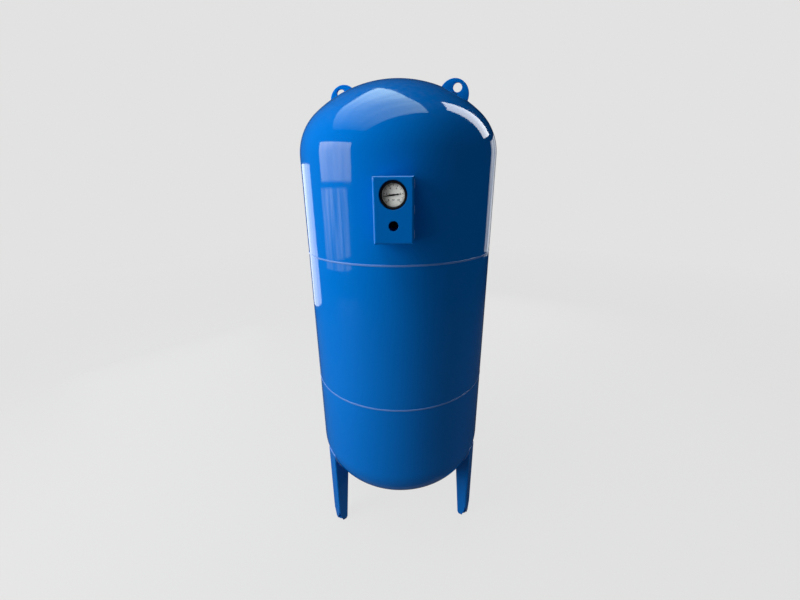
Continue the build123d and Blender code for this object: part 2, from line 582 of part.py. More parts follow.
# ---------------------------------------------------------------- charging valve
def make_valve():
    centre = front(VALVE_HEIGHT)
    hexagon = extrude(RegularPolygon(7.0, 6, major_radius=False), 8)
    seat = 344.0
    flange_face = SOCKET_FACE + 1.2
    body = (ring(VALVE_THREAD, 0, SOCKET_INSIDE + 6, flange_face)
            + Pos(0, 0, flange_face) * hexagon
            + ring(STEM_RADIUS, 0, flange_face + 8, STEM_MOUTH))
    body -= ring(VALVE_PASSAGE, 0, SOCKET_INSIDE, seat + 1)
    body -= ring(CORE_RADIUS, 0, seat, STEM_MOUTH)
    nodes["valve_body"] = centre * body
    nodes["valve_seal"] = centre * ring(SOCKET_RADIUS - 1.5, VALVE_THREAD, SOCKET_FACE, flange_face)

    sleeve_low, sleeve_high = 350.0, 362.0
    bore = 1.3
    guide = PIN_RADIUS + RUNNING_GAP
    sleeve = turned_points([(guide, sleeve_low), (CORE_RADIUS, sleeve_low), (CORE_RADIUS, sleeve_high),
                            (guide, sleeve_high), (guide, sleeve_high - 1), (bore, sleeve_high - 1),
                            (bore, sleeve_low + 1), (guide, sleeve_low + 1)])
    nodes["valve_core_sleeve"] = centre * sleeve
    stroke_collar = (360.3, 360.9)
    pin = (ring(PIN_RADIUS, 0, 347.5, 364.8) + ring(2.1, 0, 348.3, sleeve_low - 0.05)
           + ring(1.2, 0, *stroke_collar))
    nodes["valve_pin"] = centre * pin
    wire = 0.15
    spring_low, spring_high = sleeve_low + 1 + wire, stroke_collar[0] - wire
    coil_radius = PIN_RADIUS + 0.1 + 1.3 * wire
    path = Helix(pitch=(spring_high - spring_low) / 7, height=spring_high - spring_low,
                 radius=coil_radius)
    wire_section = Plane(origin=path @ 0, z_dir=path % 0) * Circle(wire)
    nodes["valve_spring"] = centre * Pos(0, 0, spring_low) * sweep(wire_section, path=path, is_frenet=True)

    seal_low, seal_high = STEM_MOUTH + 0.05, STEM_MOUTH + 1.95
    cap_bore = STEM_RADIUS + RUNNING_GAP
    cap_low, cap_high = 354.0, 370.5
    cap = turned_points([(cap_bore, cap_low), (CAP_RADIUS - 0.4, cap_low), (CAP_RADIUS, cap_low + 0.5),
                         (CAP_RADIUS, cap_high - 1.6), (CAP_RADIUS - 1.4, cap_high), (0, cap_high),
                         (0, seal_high + 0.05), (cap_bore, seal_high + 0.05)])
    grips = 16
    for k in range(grips):
        groove = Rot(0, 0, 360 * k / grips) * Pos(CAP_RADIUS + 0.25, 0, 0) * ring(0.6, 0, 356.5, 372)
        cap -= groove
    nodes["valve_cap"] = centre * cap
    nodes["cap_seal"] = centre * ring(STEM_RADIUS - 0.03, 1.4, seal_low, seal_high)


# ---------------------------------------------------------------- bladder and connections
def make_water_connection():
    flange_low = FLANGE_TOP - FLANGE_THICK
    counter_top = flange_low - LIP_THICK
    counter_low = counter_top - COUNTER_THICK
    neck = (ring(NECK_RADIUS, NECK_BORE, FLANGE_TOP, LOWER_APEX + 15)
            + ring(FLANGE_RADIUS, NECK_BORE, flange_low, FLANGE_TOP))
    counter = ring(FLANGE_RADIUS, WATER_BOSS, counter_low, counter_top)
    boss = ring(WATER_BOSS, WATER_BORE, WATER_MOUTH, counter_top)
    bolts, nuts = [], []
    hexagon = RegularPolygon(9.0, 6, major_radius=False)
    for k in range(BOLT_COUNT):
        at = Pos(*polar(BOLT_CIRCLE, 360 * (k + 0.5) / BOLT_COUNT), 0)
        neck -= at * ring(BOLT_HOLE, 0, flange_low, FLANGE_TOP)
        counter -= at * ring(BOLT_HOLE, 0, counter_low, counter_top)
        bolt = ring(BOLT_RADIUS, 0, counter_low, FLANGE_TOP + 14) + Pos(
            0, 0, counter_low - 7.5) * extrude(hexagon, 7.5)
        bolts.append(at * bolt)
        nut = Pos(0, 0, FLANGE_TOP) * extrude(hexagon, 10) - ring(BOLT_RADIUS, 0, FLANGE_TOP, FLANGE_TOP + 10)
        nuts.append(at * nut)
    nodes["neck_flange"] = neck
    nodes["counter_flange"] = counter
    nodes["water_connection"] = boss
    nodes["flange_bolts"] = Compound(children=bolts)
    nodes["flange_nuts"] = Compound(children=nuts)


def bladder_outline(wall):
    """Outer line of the bladder from its lower neck to its upper neck, as (radius, height)."""
    lip = FLANGE_TOP - FLANGE_THICK
    neck_top = LOWER_APEX + 20
    crown = UPPER_APEX - 60
    return [(NECK_BORE - wall, lip), (NECK_BORE - wall, neck_top), (235 - wall, neck_top + 260),
            (250 - wall, (neck_top + crown) / 2), (225 - wall, crown - 260), (20 - wall, crown)]


def make_bladder():
    outer, inner = bladder_outline(0), bladder_outline(BLADDER_WALL)
    lip_low = FLANGE_TOP - FLANGE_THICK - LIP_THICK

    def side(points):
        return Edge.make_spline([(r, 0, z) for r, z in points[1:]], tangents=[(0, 0, 1)] * 2)

    top_z = outer[-1][1] + 30
    edges = [line((BOLT_CIRCLE - 10, lip_low), (BOLT_CIRCLE - 10, outer[0][1])),
             line((BOLT_CIRCLE - 10, outer[0][1]), outer[0]), line(outer[0], outer[1]), side(outer),
             line(outer[-1], (outer[-1][0], top_z)), line((outer[-1][0], top_z), (inner[-1][0], top_z)),
             line((inner[-1][0], top_z), inner[-1]), side(inner), line(inner[1], (inner[1][0], lip_low)),
             line((inner[1][0], lip_low), (BOLT_CIRCLE - 10, lip_low))]
    nodes["bladder"] = turned(edges)

    ring_low, ring_high = UPPER_APEX - 12, UPPER_APEX + TOP_RING_RISE
    nodes["top_ring"] = ring(TOP_RING_RADIUS, TOP_RING_BORE, ring_low, ring_high)
    gasket_high = ring_high + TOP_GASKET_THICK
    nodes["top_gasket"] = ring(TOP_RING_RADIUS - 1, TOP_RING_BORE, ring_high, gasket_high)
    stem_radius, plug_radius = inner[-1][0], TOP_RING_BORE - FIT_GAP
    nodes["hanger_plug"] = (ring(TOP_RING_RADIUS, 0, gasket_high, gasket_high + PLUG_HEAD)
                            + ring(plug_radius, 0, ring_low - 6, gasket_high)
                            + ring(stem_radius, 0, outer[-1][1] + 5, ring_low - 6)
                            - ring(plug_radius, 20.0, top_z - 0.2, ring_low - 6))
    hexagon = extrude(RegularPolygon(12.0, 6, major_radius=False), PLUG_SOCKET)
    nodes["hanger_plug"] -= Pos(0, 0, gasket_high + PLUG_HEAD - PLUG_SOCKET) * hexagon


make_vessel()
make_supports()
make_guard()
make_sockets()
make_gauge_body()
make_movement()
make_dial()
make_valve()
make_water_connection()
make_bladder()

os.makedirs("parts", exist_ok=True)
for name, shape in nodes.items():
    export_step(shape, f"parts/{name}.step")
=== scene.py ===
from math import asin, atan2, cos, exp, floor, pi, radians, sin, sqrt, tan, tau

import bmesh
import bpy
from bpy.props import FloatProperty, FloatVectorProperty, IntProperty, PointerProperty
from mathutils import Matrix, Vector


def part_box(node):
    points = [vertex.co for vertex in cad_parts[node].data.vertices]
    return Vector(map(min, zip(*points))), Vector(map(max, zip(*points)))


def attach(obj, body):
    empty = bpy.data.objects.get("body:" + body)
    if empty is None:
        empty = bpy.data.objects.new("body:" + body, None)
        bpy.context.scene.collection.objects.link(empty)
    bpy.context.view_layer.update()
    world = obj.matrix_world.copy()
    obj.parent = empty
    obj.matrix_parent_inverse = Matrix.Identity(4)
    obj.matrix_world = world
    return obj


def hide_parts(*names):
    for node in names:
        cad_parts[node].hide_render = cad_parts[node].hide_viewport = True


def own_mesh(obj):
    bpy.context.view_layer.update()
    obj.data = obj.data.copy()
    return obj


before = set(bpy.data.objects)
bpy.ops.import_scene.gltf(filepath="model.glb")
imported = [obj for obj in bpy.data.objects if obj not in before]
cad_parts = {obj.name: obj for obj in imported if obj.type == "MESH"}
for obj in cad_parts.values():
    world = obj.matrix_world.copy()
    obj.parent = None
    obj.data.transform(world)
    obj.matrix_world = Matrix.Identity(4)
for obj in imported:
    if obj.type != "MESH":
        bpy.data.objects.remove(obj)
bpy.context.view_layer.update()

bl_info = {
    "name": "Bladder Pressure Tank",
    "version": (1, 0, 0),
    "blender": (4, 5, 0),
    "location": "View3D > Sidebar > Tank",
    "description": "Painted skins, welds, gauge print, fasteners and finishes for a pressure tank",
    "category": "Object",
}

# Metres.  The vessel stands on z = 0 with its axis on z, and its gauge faces -y.
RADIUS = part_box("middle_shell")[1].y
WALL = 0.0035
CROWN = 0.405             # outer crown radius of both dished heads
KNUCKLE = 0.165           # outer knuckle radius of both dished heads
UPPER_TANGENT = 1.433     # where the upper head's skirt turns into its knuckle
LOWER_TANGENT = 0.377
JOGGLE = 0.026            # set-in edge of each head, inside the middle shell
UPPER_SEAM = (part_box("upper_girth_weld")[0].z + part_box("upper_girth_weld")[1].z) / 2
LOWER_SEAM = (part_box("lower_girth_weld")[0].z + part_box("lower_girth_weld")[1].z) / 2
WELD_HALF = (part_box("upper_girth_weld")[1].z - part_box("upper_girth_weld")[0].z) / 2
WELD_RISE = 0.0013
CROWN_DROP = sqrt((CROWN - KNUCKLE) ** 2 - (RADIUS - KNUCKLE) ** 2)
LEAN = asin((RADIUS - KNUCKLE) / (CROWN - KNUCKLE))   # where crown turns into knuckle
TOP_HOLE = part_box("top_ring")[1].x
NECK_HOLE = 0.075
SEAM_AZIMUTH = radians(150)

LEG_TURNS = [radians(a) for a in (64, 184, 304)]
LEG_HALF = 0.029
LEG_SHEET = 0.004
LEG_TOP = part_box("left_leg")[1].z
LEG_INNER = RADIUS - 0.054      # inner edge of a flange where it meets the vessel
FILLET = 0.004                  # leg length of a fillet weld

EYE_TURNS = [radians(a) for a in (82, 262)]
EYE_FOOT = 0.181                # distance of an eye's middle from the axis
EYE_RADIUS = 0.047
EYE_THICK = 0.010
EYE_HOLE = 0.014
EYE_HOLE_RISE = 0.024

GAUGE_CENTRE = Vector((0, 0, (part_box("gauge_dial")[0].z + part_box("gauge_dial")[1].z) / 2))
DIAL_FACE = -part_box("gauge_dial")[0].y
SCALE_START = 225               # direction of zero on the dial, in degrees
SCALE_SWEEP = 270
SCALE_RADIUS = 0.0258           # outer ends of the scale's strokes
NEEDLE_REST = 188               # direction of the needle at rest
INK = 0.00004                   # thickness of the dial's printing

BOLT_CIRCLE = 0.092
BOLT_COUNT = 8
BOLT_RADIUS = 0.006
BOLT_PITCH = 0.00175
HEX_HALF = 0.009                # half the width across a bolt's flats

SECTORS = 16                    # equal parts in which a round skin is spun
SHELL_SIDES = 256
SHELL_CREASE = radians(20)      # edges that turn by more than a crease stay sharp
THREAD_CREASE = radians(24)
PART_CREASE = radians(28)
RIPPLE_CREASE = radians(50)
BEAD_CREASE = radians(60)


# ---------------------------------------------------------------- settings
class TankPaintSettings(bpy.types.PropertyGroup):
    """Colours and gloss of the coated parts."""

    color: FloatVectorProperty(
        name="Paint Color", description="Enamel on the vessel, legs and guard",
        subtype="COLOR", size=3, min=0, max=1, default=(0.0, 0.150, 0.560))
    gloss: FloatProperty(
        name="Paint Roughness", description="Mean roughness of the enamel",
        subtype="FACTOR", min=0, max=1, default=0.05)
    peel: FloatProperty(
        name="Orange Peel", description="Height of the enamel's fine unevenness",
        unit="LENGTH", min=0, max=0.001, default=0.000012, precision=6)
    wave: FloatProperty(
        name="Plate Wave", description="Height of the slow unevenness of the rolled plate",
        unit="LENGTH", min=0, max=0.005, default=0.00022, precision=5)
    dust: FloatProperty(
        name="Dust", description="How much dust lies on upward faces",
        subtype="FACTOR", min=0, max=1, default=0.05)


class TankWeldSettings(bpy.types.PropertyGroup):
    """Shape of the weld beads."""

    pitch: FloatProperty(
        name="Ripple Pitch", description="Distance between two ripples of a bead",
        unit="LENGTH", min=0.001, max=0.01, default=0.0034, precision=4)
    depth: FloatProperty(
        name="Ripple Depth", description="Height of a ripple as a share of the bead",
        subtype="FACTOR", min=0, max=0.5, default=0.12)
    pull: FloatProperty(
        name="Weld Shrinkage", description="How far a girth weld draws the plate in",
        unit="LENGTH", min=0, max=0.002, default=0.0006, precision=4)


class TankGaugeSettings(bpy.types.PropertyGroup):
    """Printing on the gauge's dial."""

    full_scale: IntProperty(
        name="Full Scale", description="Pressure at the end of the scale, in bar",
        min=2, max=40, default=10)
    fine_steps: IntProperty(
        name="Fine Steps", description="Small divisions in one bar", min=1, max=10, default=5)
    ink: FloatVectorProperty(
        name="Ink Color", description="Printing on the dial",
        subtype="COLOR", size=3, min=0, max=1, default=(0.012, 0.012, 0.014))


class TankStageSettings(bpy.types.PropertyGroup):
    """Camera, floor and lights."""

    distance: FloatProperty(
        name="Camera Distance", description="Level distance of the camera from the tank's axis",
        unit="LENGTH", min=0.5, max=20, default=1.2355)
    height: FloatProperty(
        name="Camera Height", description="Height of the camera above the floor",
        unit="LENGTH", min=0, max=10, default=1.3353)
    azimuth: FloatProperty(
        name="Camera Azimuth", description="How far the camera stands round to the right",
        unit="ROTATION", default=radians(1.9))
    pitch: FloatProperty(
        name="Camera Pitch", description="How far the camera looks down",
        unit="ROTATION", default=0.3222)
    roll: FloatProperty(
        name="Camera Roll", description="Lean of the camera", unit="ROTATION", default=-0.0082)
    yaw: FloatProperty(
        name="Camera Yaw", description="How far the camera looks past the axis",
        unit="ROTATION", default=-0.0015)
    lens: FloatProperty(
        name="Lens", description="Focal length on a 36 mm sensor, in millimetres",
        min=8, max=200, default=14.93)
    floor: FloatVectorProperty(
        name="Floor Color", description="Floor and background",
        subtype="COLOR", size=3, min=0, max=1, default=(0.76, 0.76, 0.76))


# ---------------------------------------------------------------- mesh helpers
def steps(first, last, count):
    """Evenly spaced values from first to last, with both ends."""
    return [first + (last - first) * k / count for k in range(count + 1)]


def mark_creases(bm, angle=PART_CREASE):
    """Smooth every face and keep the edges sharp that turn by more than an angle."""
    for face in bm.faces:
        face.smooth = True
    for edge in bm.edges:
        edge.smooth = len(edge.link_faces) == 2 and edge.calc_face_angle(0) < angle


def finish_mesh(bm, name, finish, body="vessel", crease=PART_CREASE, recalc=True):
    """Turn a bmesh into a piece that rides on a body."""
    bmesh.ops.remove_doubles(bm, verts=bm.verts, dist=1e-7)
    if recalc:
        bmesh.ops.recalc_face_normals(bm, faces=bm.faces)
    mark_creases(bm, crease)
    mesh = bpy.data.meshes.new(name)
    bm.to_mesh(mesh)
    bm.free()
    mesh.materials.append(finish)
    piece = bpy.data.objects.new(name, mesh)
    bpy.context.scene.collection.objects.link(piece)
    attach(piece, body)
    return piece


def spin_outline(outline, count, closed=True):
    """Revolve an outline of (radius, height) about the vessel's axis, one sector at a time."""
    bm = bmesh.new()
    corners = [bm.verts.new((r, 0, z)) for r, z in outline]
    pairs = list(zip(corners, corners[1:]))
    if closed:
        pairs.append((corners[-1], corners[0]))
    sides = [bm.edges.new(pair) for pair in pairs]
    bmesh.ops.spin(bm, geom=corners + sides, cent=(0, 0, 0), axis=(0, 0, 1), dvec=(0, 0, 0),
                   angle=tau / SECTORS, steps=count // SECTORS, use_merge=False, use_duplicate=False)
    first = bm.verts[:] + bm.edges[:] + bm.faces[:]
    for k in range(1, SECTORS):
        copy = bmesh.ops.duplicate(bm, geom=first)["geom"]
        bmesh.ops.rotate(bm, cent=(0, 0, 0), matrix=Matrix.Rotation(tau * k / SECTORS, 3, "Z"),
                         verts=[g for g in copy if isinstance(g, bmesh.types.BMVert)])
    bmesh.ops.remove_doubles(bm, verts=bm.verts, dist=2e-6)
    return bm


def take_mesh(bm, holder, place=Matrix.Identity(4)):
    """Add the mesh of a curve or text object to a bmesh, and delete the object."""
    mesh = bpy.data.meshes.new_from_object(holder)
    mesh.transform(place)
    bm.from_mesh(mesh)
    curve = holder.data
    bpy.data.objects.remove(holder)
    bpy.data.curves.remove(curve)
    bpy.data.meshes.remove(mesh)


def tube_along(bm, points, radii, closed=False):
    """Add a round bead along a line of points to a bmesh."""
    curve = bpy.data.curves.new("bead_line", "CURVE")
    curve.dimensions = "3D"
    curve.bevel_depth = 1.0
    curve.bevel_resolution = 3
    curve.use_fill_caps = not closed
    spline = curve.splines.new("POLY")
    spline.points.add(len(points) - 1)
    for spot, point, radius in zip(spline.points, points, radii):
        spot.co = (*point, 1)
        spot.radius = radius
    spline.use_cyclic_u = closed
    holder = bpy.data.objects.new("bead_line", curve)
    bpy.context.scene.collection.objects.link(holder)
    take_mesh(bm, holder)


def evenly(points, gap):
    """Points along a polyline, a fixed gap apart."""
    kept = [Vector(points[0])]
    left = gap
    for start, end in zip(points, points[1:]):
        start, end = Vector(start), Vector(end)
        length = (end - start).length
        done = left
        while done <= length:
            kept.append(start.lerp(end, done / length))
            done += gap
        left = done - length
    return kept


def stack_rings(bm, rings, place):
    """Join rings of (x, y, z) points into a skin; a ring of one point closes an end."""
    rows = [[bm.verts.new(place @ Vector(point)) for point in ring] for ring in rings]
    for first, second in zip(rows, rows[1:]):
        count = max(len(first), len(second))
        for k in range(count):
            near, far = k % len(first), (k + 1) % len(first)
            corners = [first[near], first[far], second[(k + 1) % len(second)], second[k % len(second)]]
            bm.faces.new(list(dict.fromkeys(corners)))


def round_ring(radius, height, count=48):
    return [(radius * cos(tau * k / count), radius * sin(tau * k / count), height) for k in range(count)]


def hexagon_ring(half, height, drop=0.0, count=48):
    """Six-sided ring; its corners fall away by drop, as where a cone cuts a hexagon."""
    points = []
    for k in range(count):
        around = tau * k / count
        radius = half / cos((around + pi / 6) % (pi / 3) - pi / 6)
        points.append((radius * cos(around), radius * sin(around), height - drop * (radius - half)))
    return points


def thread_rings(radius, depth, pitch, low, high, count=48):
    """Rings of a screw thread from low to high; a negative depth cuts it into a bore."""
    rings = []
    slices = 8
    for height in steps(low, high, round((high - low) / pitch * slices)):
        points = []
        for k in range(count):
            phase = height / pitch - k / count
            tooth = abs(2 * (phase - floor(phase)) - 1)
            reach = radius - depth * min(1.0, max(0.0, 1.25 * tooth - 0.125))
            points.append((reach * cos(tau * k / count), reach * sin(tau * k / count), height))
        rings.append(points)
    return rings


def bead(bm, line, radius, closed=False):
    """Add a rippled weld bead to a bmesh; an open one tapers at both ends."""
    weld = bpy.context.scene.tank_weld
    samples = 4
    points = evenly(line, weld.pitch / samples)
    last = len(points) - 1
    radii = []
    for k in range(len(points)):
        ripple = 1 - weld.depth * (0.5 + 0.5 * cos(tau * k / samples))
        wander = 1 - 0.06 * (1 + sin(k * 0.37) * sin(k * 0.113))
        end = 1.0 if closed else min(1.0, 0.35 + min(k, last - k) / 6)
        radii.append(radius * ripple * wander * end)
    tube_along(bm, points, radii, closed)


# ---------------------------------------------------------------- node helpers
def add(tree, kind, inputs=None, **settings):
    """Add a shader node, set its properties, and link or set its inputs."""
    made = tree.nodes.new(kind)
    for key, value in settings.items():
        setattr(made, key, value)
    for socket, value in (inputs or {}).items():
        if isinstance(value, bpy.types.NodeSocket):
            tree.links.new(value, made.inputs[socket])
        else:
            made.inputs[socket].default_value = value
    return made


def math(tree, operation, a, b=0.0, clamp=False):
    made = add(tree, "ShaderNodeMath", {0: a, 1: b}, operation=operation, use_clamp=clamp)
    return made.outputs[0]


def noise(tree, place, scale, detail=2.0, roughness=0.5):
    made = add(tree, "ShaderNodeTexNoise", {
        "Vector": place, "Scale": scale, "Detail": detail, "Roughness": roughness})
    return made.outputs["Fac"]


def ramp(tree, value, low, high, to_low=0.0, to_high=1.0):
    made = add(tree, "ShaderNodeMapRange", {
        "Value": value, "From Min": low, "From Max": high, "To Min": to_low, "To Max": to_high})
    return made.outputs["Result"]


def blend_color(tree, share, first, second, kind="MIX"):
    made = add(tree, "ShaderNodeMix", {0: share, 6: first, 7: second},
               data_type="RGBA", blend_type=kind)
    return made.outputs[2]


def object_place(tree):
    return add(tree, "ShaderNodeTexCoord").outputs["Object"]


def new_group(name, inputs, outputs):
    """Empty node group with its sockets."""
    tree = bpy.data.node_groups.new(name, "ShaderNodeTree")
    for label, kind, default in inputs:
        socket = tree.interface.new_socket(label, in_out="INPUT", socket_type=kind)
        socket.default_value = default
    for label, kind in outputs:
        tree.interface.new_socket(label, in_out="OUTPUT", socket_type=kind)
    return tree, add(tree, "NodeGroupInput").outputs, add(tree, "NodeGroupOutput").inputs


FLOAT, COLOR = "NodeSocketFloat", "NodeSocketColor"


def build_tone_group():
    """Slow drift of a colour over a surface."""
    tree, given, result = new_group(
        "Tone drift", [("Color", COLOR, (1, 1, 1, 1)), ("Scale", FLOAT, 5), ("Amount", FLOAT, 0.1)],
        [("Color", COLOR)])
    cloud = noise(tree, object_place(tree), given["Scale"], 4)
    tone = math(tree, "MULTIPLY_ADD", math(tree, "SUBTRACT", cloud, 0.5), given["Amount"])
    tone.node.inputs[2].default_value = 1.0
    grey = add(tree, "ShaderNodeCombineColor", {0: tone, 1: tone, 2: tone}).outputs[0]
    tree.links.new(blend_color(tree, 1.0, given["Color"], grey, "MULTIPLY"), result["Color"])


def build_grain_group():
    """Height of a surface's fine grain and slow waves, each in metres."""
    tree, given, result = new_group(
        "Surface grain",
        [("Fine Scale", FLOAT, 300), ("Fine Height", FLOAT, 0.00001),
         ("Slow Scale", FLOAT, 5), ("Slow Height", FLOAT, 0)],
        [("Height", FLOAT)])
    place = object_place(tree)
    fine = math(tree, "MULTIPLY", noise(tree, place, given["Fine Scale"], 1), given["Fine Height"])
    slow = math(tree, "MULTIPLY", noise(tree, place, given["Slow Scale"], 0), given["Slow Height"])
    tree.links.new(math(tree, "ADD", fine, slow), result["Height"])


def build_gloss_group():
    """Roughness with cloudy patches."""
    tree, given, result = new_group(
        "Gloss patches", [("Mean", FLOAT, 0.3), ("Spread", FLOAT, 0.1), ("Scale", FLOAT, 20)],
        [("Roughness", FLOAT)])
    cloud = math(tree, "SUBTRACT", noise(tree, object_place(tree), given["Scale"], 5, 0.6), 0.5)
    swing = math(tree, "MULTIPLY", cloud, given["Spread"])
    tree.links.new(math(tree, "ADD", swing, given["Mean"], clamp=True), result["Roughness"])


def build_dust_group():
    """Dust on faces that look up."""
    tree, given, result = new_group(
        "Settled dust",
        [("Color", COLOR, (1, 1, 1, 1)), ("Dust Color", COLOR, (0.5, 0.48, 0.45, 1)),
         ("Amount", FLOAT, 0.1)],
        [("Color", COLOR), ("Mask", FLOAT)])
    normal = add(tree, "ShaderNodeNewGeometry").outputs["Normal"]
    up = add(tree, "ShaderNodeSeparateXYZ", {0: normal}).outputs[2]
    facing = ramp(tree, up, 0.35, 0.95)
    speck = ramp(tree, noise(tree, object_place(tree), 60, 6, 0.7), 0.4, 0.7)
    lying = math(tree, "MULTIPLY", math(tree, "MULTIPLY", facing, speck), given["Amount"], clamp=True)
    tree.links.new(blend_color(tree, lying, given["Color"], given["Dust Color"]), result["Color"])
    tree.links.new(lying, result["Mask"])


def group(tree, name, **inputs):
    """Place a shared node group with its own values, and return its outputs."""
    made = tree.nodes.new("ShaderNodeGroup")
    made.node_tree = bpy.data.node_groups[name]
    for label, value in inputs.items():
        socket = made.inputs[label.replace("_", " ")]
        if isinstance(value, bpy.types.NodeSocket):
            tree.links.new(value, socket)
        else:
            socket.default_value = value
    return made.outputs


def new_finish(name):
    """Material with only its output, and its node tree."""
    finish = bpy.data.materials.new(name)
    finish.use_nodes = True
    tree = finish.node_tree
    tree.nodes.clear()
    return finish, tree


def shade(tree, color, roughness, height=None, reach=1.0, **sockets):
    """Principled shader with its linked colour, roughness and bump, and plain values."""
    shader = add(tree, "ShaderNodeBsdfPrincipled", {"Base Color": color, "Roughness": roughness})
    for label, value in sockets.items():
        shader.inputs[label.replace("_", " ")].default_value = value
    if height is not None:
        bump = add(tree, "ShaderNodeBump", {"Height": height, "Strength": 1.0, "Distance": reach})
        tree.links.new(bump.outputs[0], shader.inputs["Normal"])
    output = add(tree, "ShaderNodeOutputMaterial")
    tree.links.new(shader.outputs[0], output.inputs["Surface"])
    return shader


# ---------------------------------------------------------------- finishes
def paint_finish(name, wave_share, pale=0.0):
    """Gloss enamel; wave_share is its part of the plate's waves, pale how thinly it covers."""
    paint = bpy.context.scene.tank_paint
    color = [part + (1 - part) * pale for part in paint.color]
    finish, tree = new_finish(name)
    tone = group(tree, "Tone drift", Color=(*color, 1), Scale=3.0, Amount=0.10)
    dusty = group(tree, "Settled dust", Color=tone["Color"], Amount=paint.dust)
    gloss = group(tree, "Gloss patches", Mean=paint.gloss, Spread=0.04, Scale=14.0)
    rough = math(tree, "ADD", gloss["Roughness"], math(tree, "MULTIPLY", dusty["Mask"], 2.0), clamp=True)
    grain = group(tree, "Surface grain", Fine_Scale=260.0, Fine_Height=paint.peel,
                  Slow_Scale=4.5, Slow_Height=paint.wave * wave_share)
    shade(tree, dusty["Color"], rough, grain["Height"], IOR=1.5)
    return finish


def coated_finish(name, color, mean, spread, fine_scale, fine_height, amount=0.15):
    """Plastic, rubber, ink or fibre: a coloured matrix with its own grain."""
    finish, tree = new_finish(name)
    tone = group(tree, "Tone drift", Color=(*color, 1), Scale=80.0, Amount=amount)
    gloss = group(tree, "Gloss patches", Mean=mean, Spread=spread, Scale=120.0)
    grain = group(tree, "Surface grain", Fine_Scale=fine_scale, Fine_Height=fine_height)
    shade(tree, tone["Color"], gloss["Roughness"], grain["Height"])
    return finish


def metal_finish(name, color, mean, spread, fine_scale, fine_height):
    """Bare metal with drawn or turned marks."""
    finish, tree = new_finish(name)
    tone = group(tree, "Tone drift", Color=(*color, 1), Scale=140.0, Amount=0.25)
    gloss = group(tree, "Gloss patches", Mean=mean, Spread=spread, Scale=260.0)
    grain = group(tree, "Surface grain", Fine_Scale=fine_scale, Fine_Height=fine_height)
    shade(tree, tone["Color"], gloss["Roughness"], grain["Height"], Metallic=1.0)
    return finish


def galvanised_finish(name):
    """Zinc coat with its crystal spangle."""
    finish, tree = new_finish(name)
    place = object_place(tree)
    crystals = add(tree, "ShaderNodeTexVoronoi", {"Vector": place, "Scale": 170.0, "Randomness": 1.0})
    shine = add(tree, "ShaderNodeSeparateColor", {0: crystals.outputs["Color"]}).outputs[0]
    zinc = blend_color(tree, shine, (0.42, 0.44, 0.46, 1), (0.66, 0.68, 0.70, 1))
    tone = group(tree, "Tone drift", Color=zinc, Scale=30.0, Amount=0.2)
    rough = ramp(tree, shine, 0, 1, 0.32, 0.52)
    grain = group(tree, "Surface grain", Fine_Scale=500.0, Fine_Height=0.00001)
    shade(tree, tone["Color"], rough, grain["Height"], Metallic=0.7)
    return finish


def window_finish(name):
    """Clear window; light passes it unbent on its way to the dial."""
    finish, tree = new_finish(name)
    gloss = group(tree, "Gloss patches", Mean=0.02, Spread=0.02, Scale=60.0)
    shader = shade(tree, (0.99, 1.0, 1.0, 1), gloss["Roughness"],
                   Transmission_Weight=1.0, IOR=1.45)
    clear = add(tree, "ShaderNodeBsdfTransparent", {"Color": (0.99, 1.0, 1.0, 1)})
    ray = add(tree, "ShaderNodeLightPath").outputs["Is Shadow Ray"]
    mix = add(tree, "ShaderNodeMixShader", {0: ray, 1: shader.outputs[0], 2: clear.outputs[0]})
    output = next(n for n in tree.nodes if n.type == "OUTPUT_MATERIAL")
    tree.links.new(mix.outputs[0], output.inputs["Surface"])
    return finish


def build_finishes():
    """Every finish by the slot that it belongs to."""
    build_tone_group()
    build_grain_group()
    build_gloss_group()
    build_dust_group()
    ink = bpy.context.scene.tank_gauge.ink
    return {
        "blue_paint": paint_finish("Blue enamel", 1.0),
        "blue_part": paint_finish("Blue enamel on small parts", 0.1),
        "blue_weld": paint_finish("Blue enamel on welds", 0.0, 0.10),
        "galvanised": galvanised_finish("Galvanised steel"),
        "bare_steel": metal_finish("Spring steel", (0.45, 0.44, 0.43), 0.25, 0.15, 900.0, 0.000002),
        "brass": metal_finish("Brass", (0.72, 0.52, 0.22), 0.28, 0.2, 700.0, 0.000003),
        "bronze": metal_finish("Bronze", (0.62, 0.38, 0.20), 0.3, 0.2, 700.0, 0.000003),
        "black_enamel": coated_finish("Black enamel", (0.012, 0.012, 0.014), 0.22, 0.12, 700.0, 0.000006),
        "dial_white": coated_finish("Dial enamel", (0.93, 0.93, 0.90), 0.45, 0.1, 900.0, 0.000002, 0.05),
        "dial_ink": coated_finish("Dial ink", ink, 0.55, 0.1, 1500.0, 0.000002),
        "needle_black": coated_finish("Needle lacquer", (0.010, 0.010, 0.011), 0.4, 0.15, 1200.0, 0.000002),
        "clear_window": window_finish("Clear window"),
        "black_rubber": coated_finish("Black rubber", (0.020, 0.020, 0.021), 0.7, 0.2, 600.0, 0.00001),
        "bladder_rubber": coated_finish("Bladder rubber", (0.028, 0.027, 0.026), 0.6, 0.2, 350.0, 0.00003),
        "fibre": coated_finish("Red fibre", (0.30, 0.07, 0.03), 0.75, 0.2, 500.0, 0.00002, 0.4),
        "cap_plastic": coated_finish("Cap plastic", (0.018, 0.018, 0.019), 0.38, 0.15, 800.0, 0.000005),
    }


finishes = {}


# ---------------------------------------------------------------- vessel
def pulled(radius, height):
    """Radius after the girth welds have drawn the plate in."""
    pull = bpy.context.scene.tank_weld.pull
    reach = 0.022
    near = sum(exp(-((height - seam) / reach) ** 2) for seam in (LOWER_SEAM, UPPER_SEAM))
    return radius - pull * near


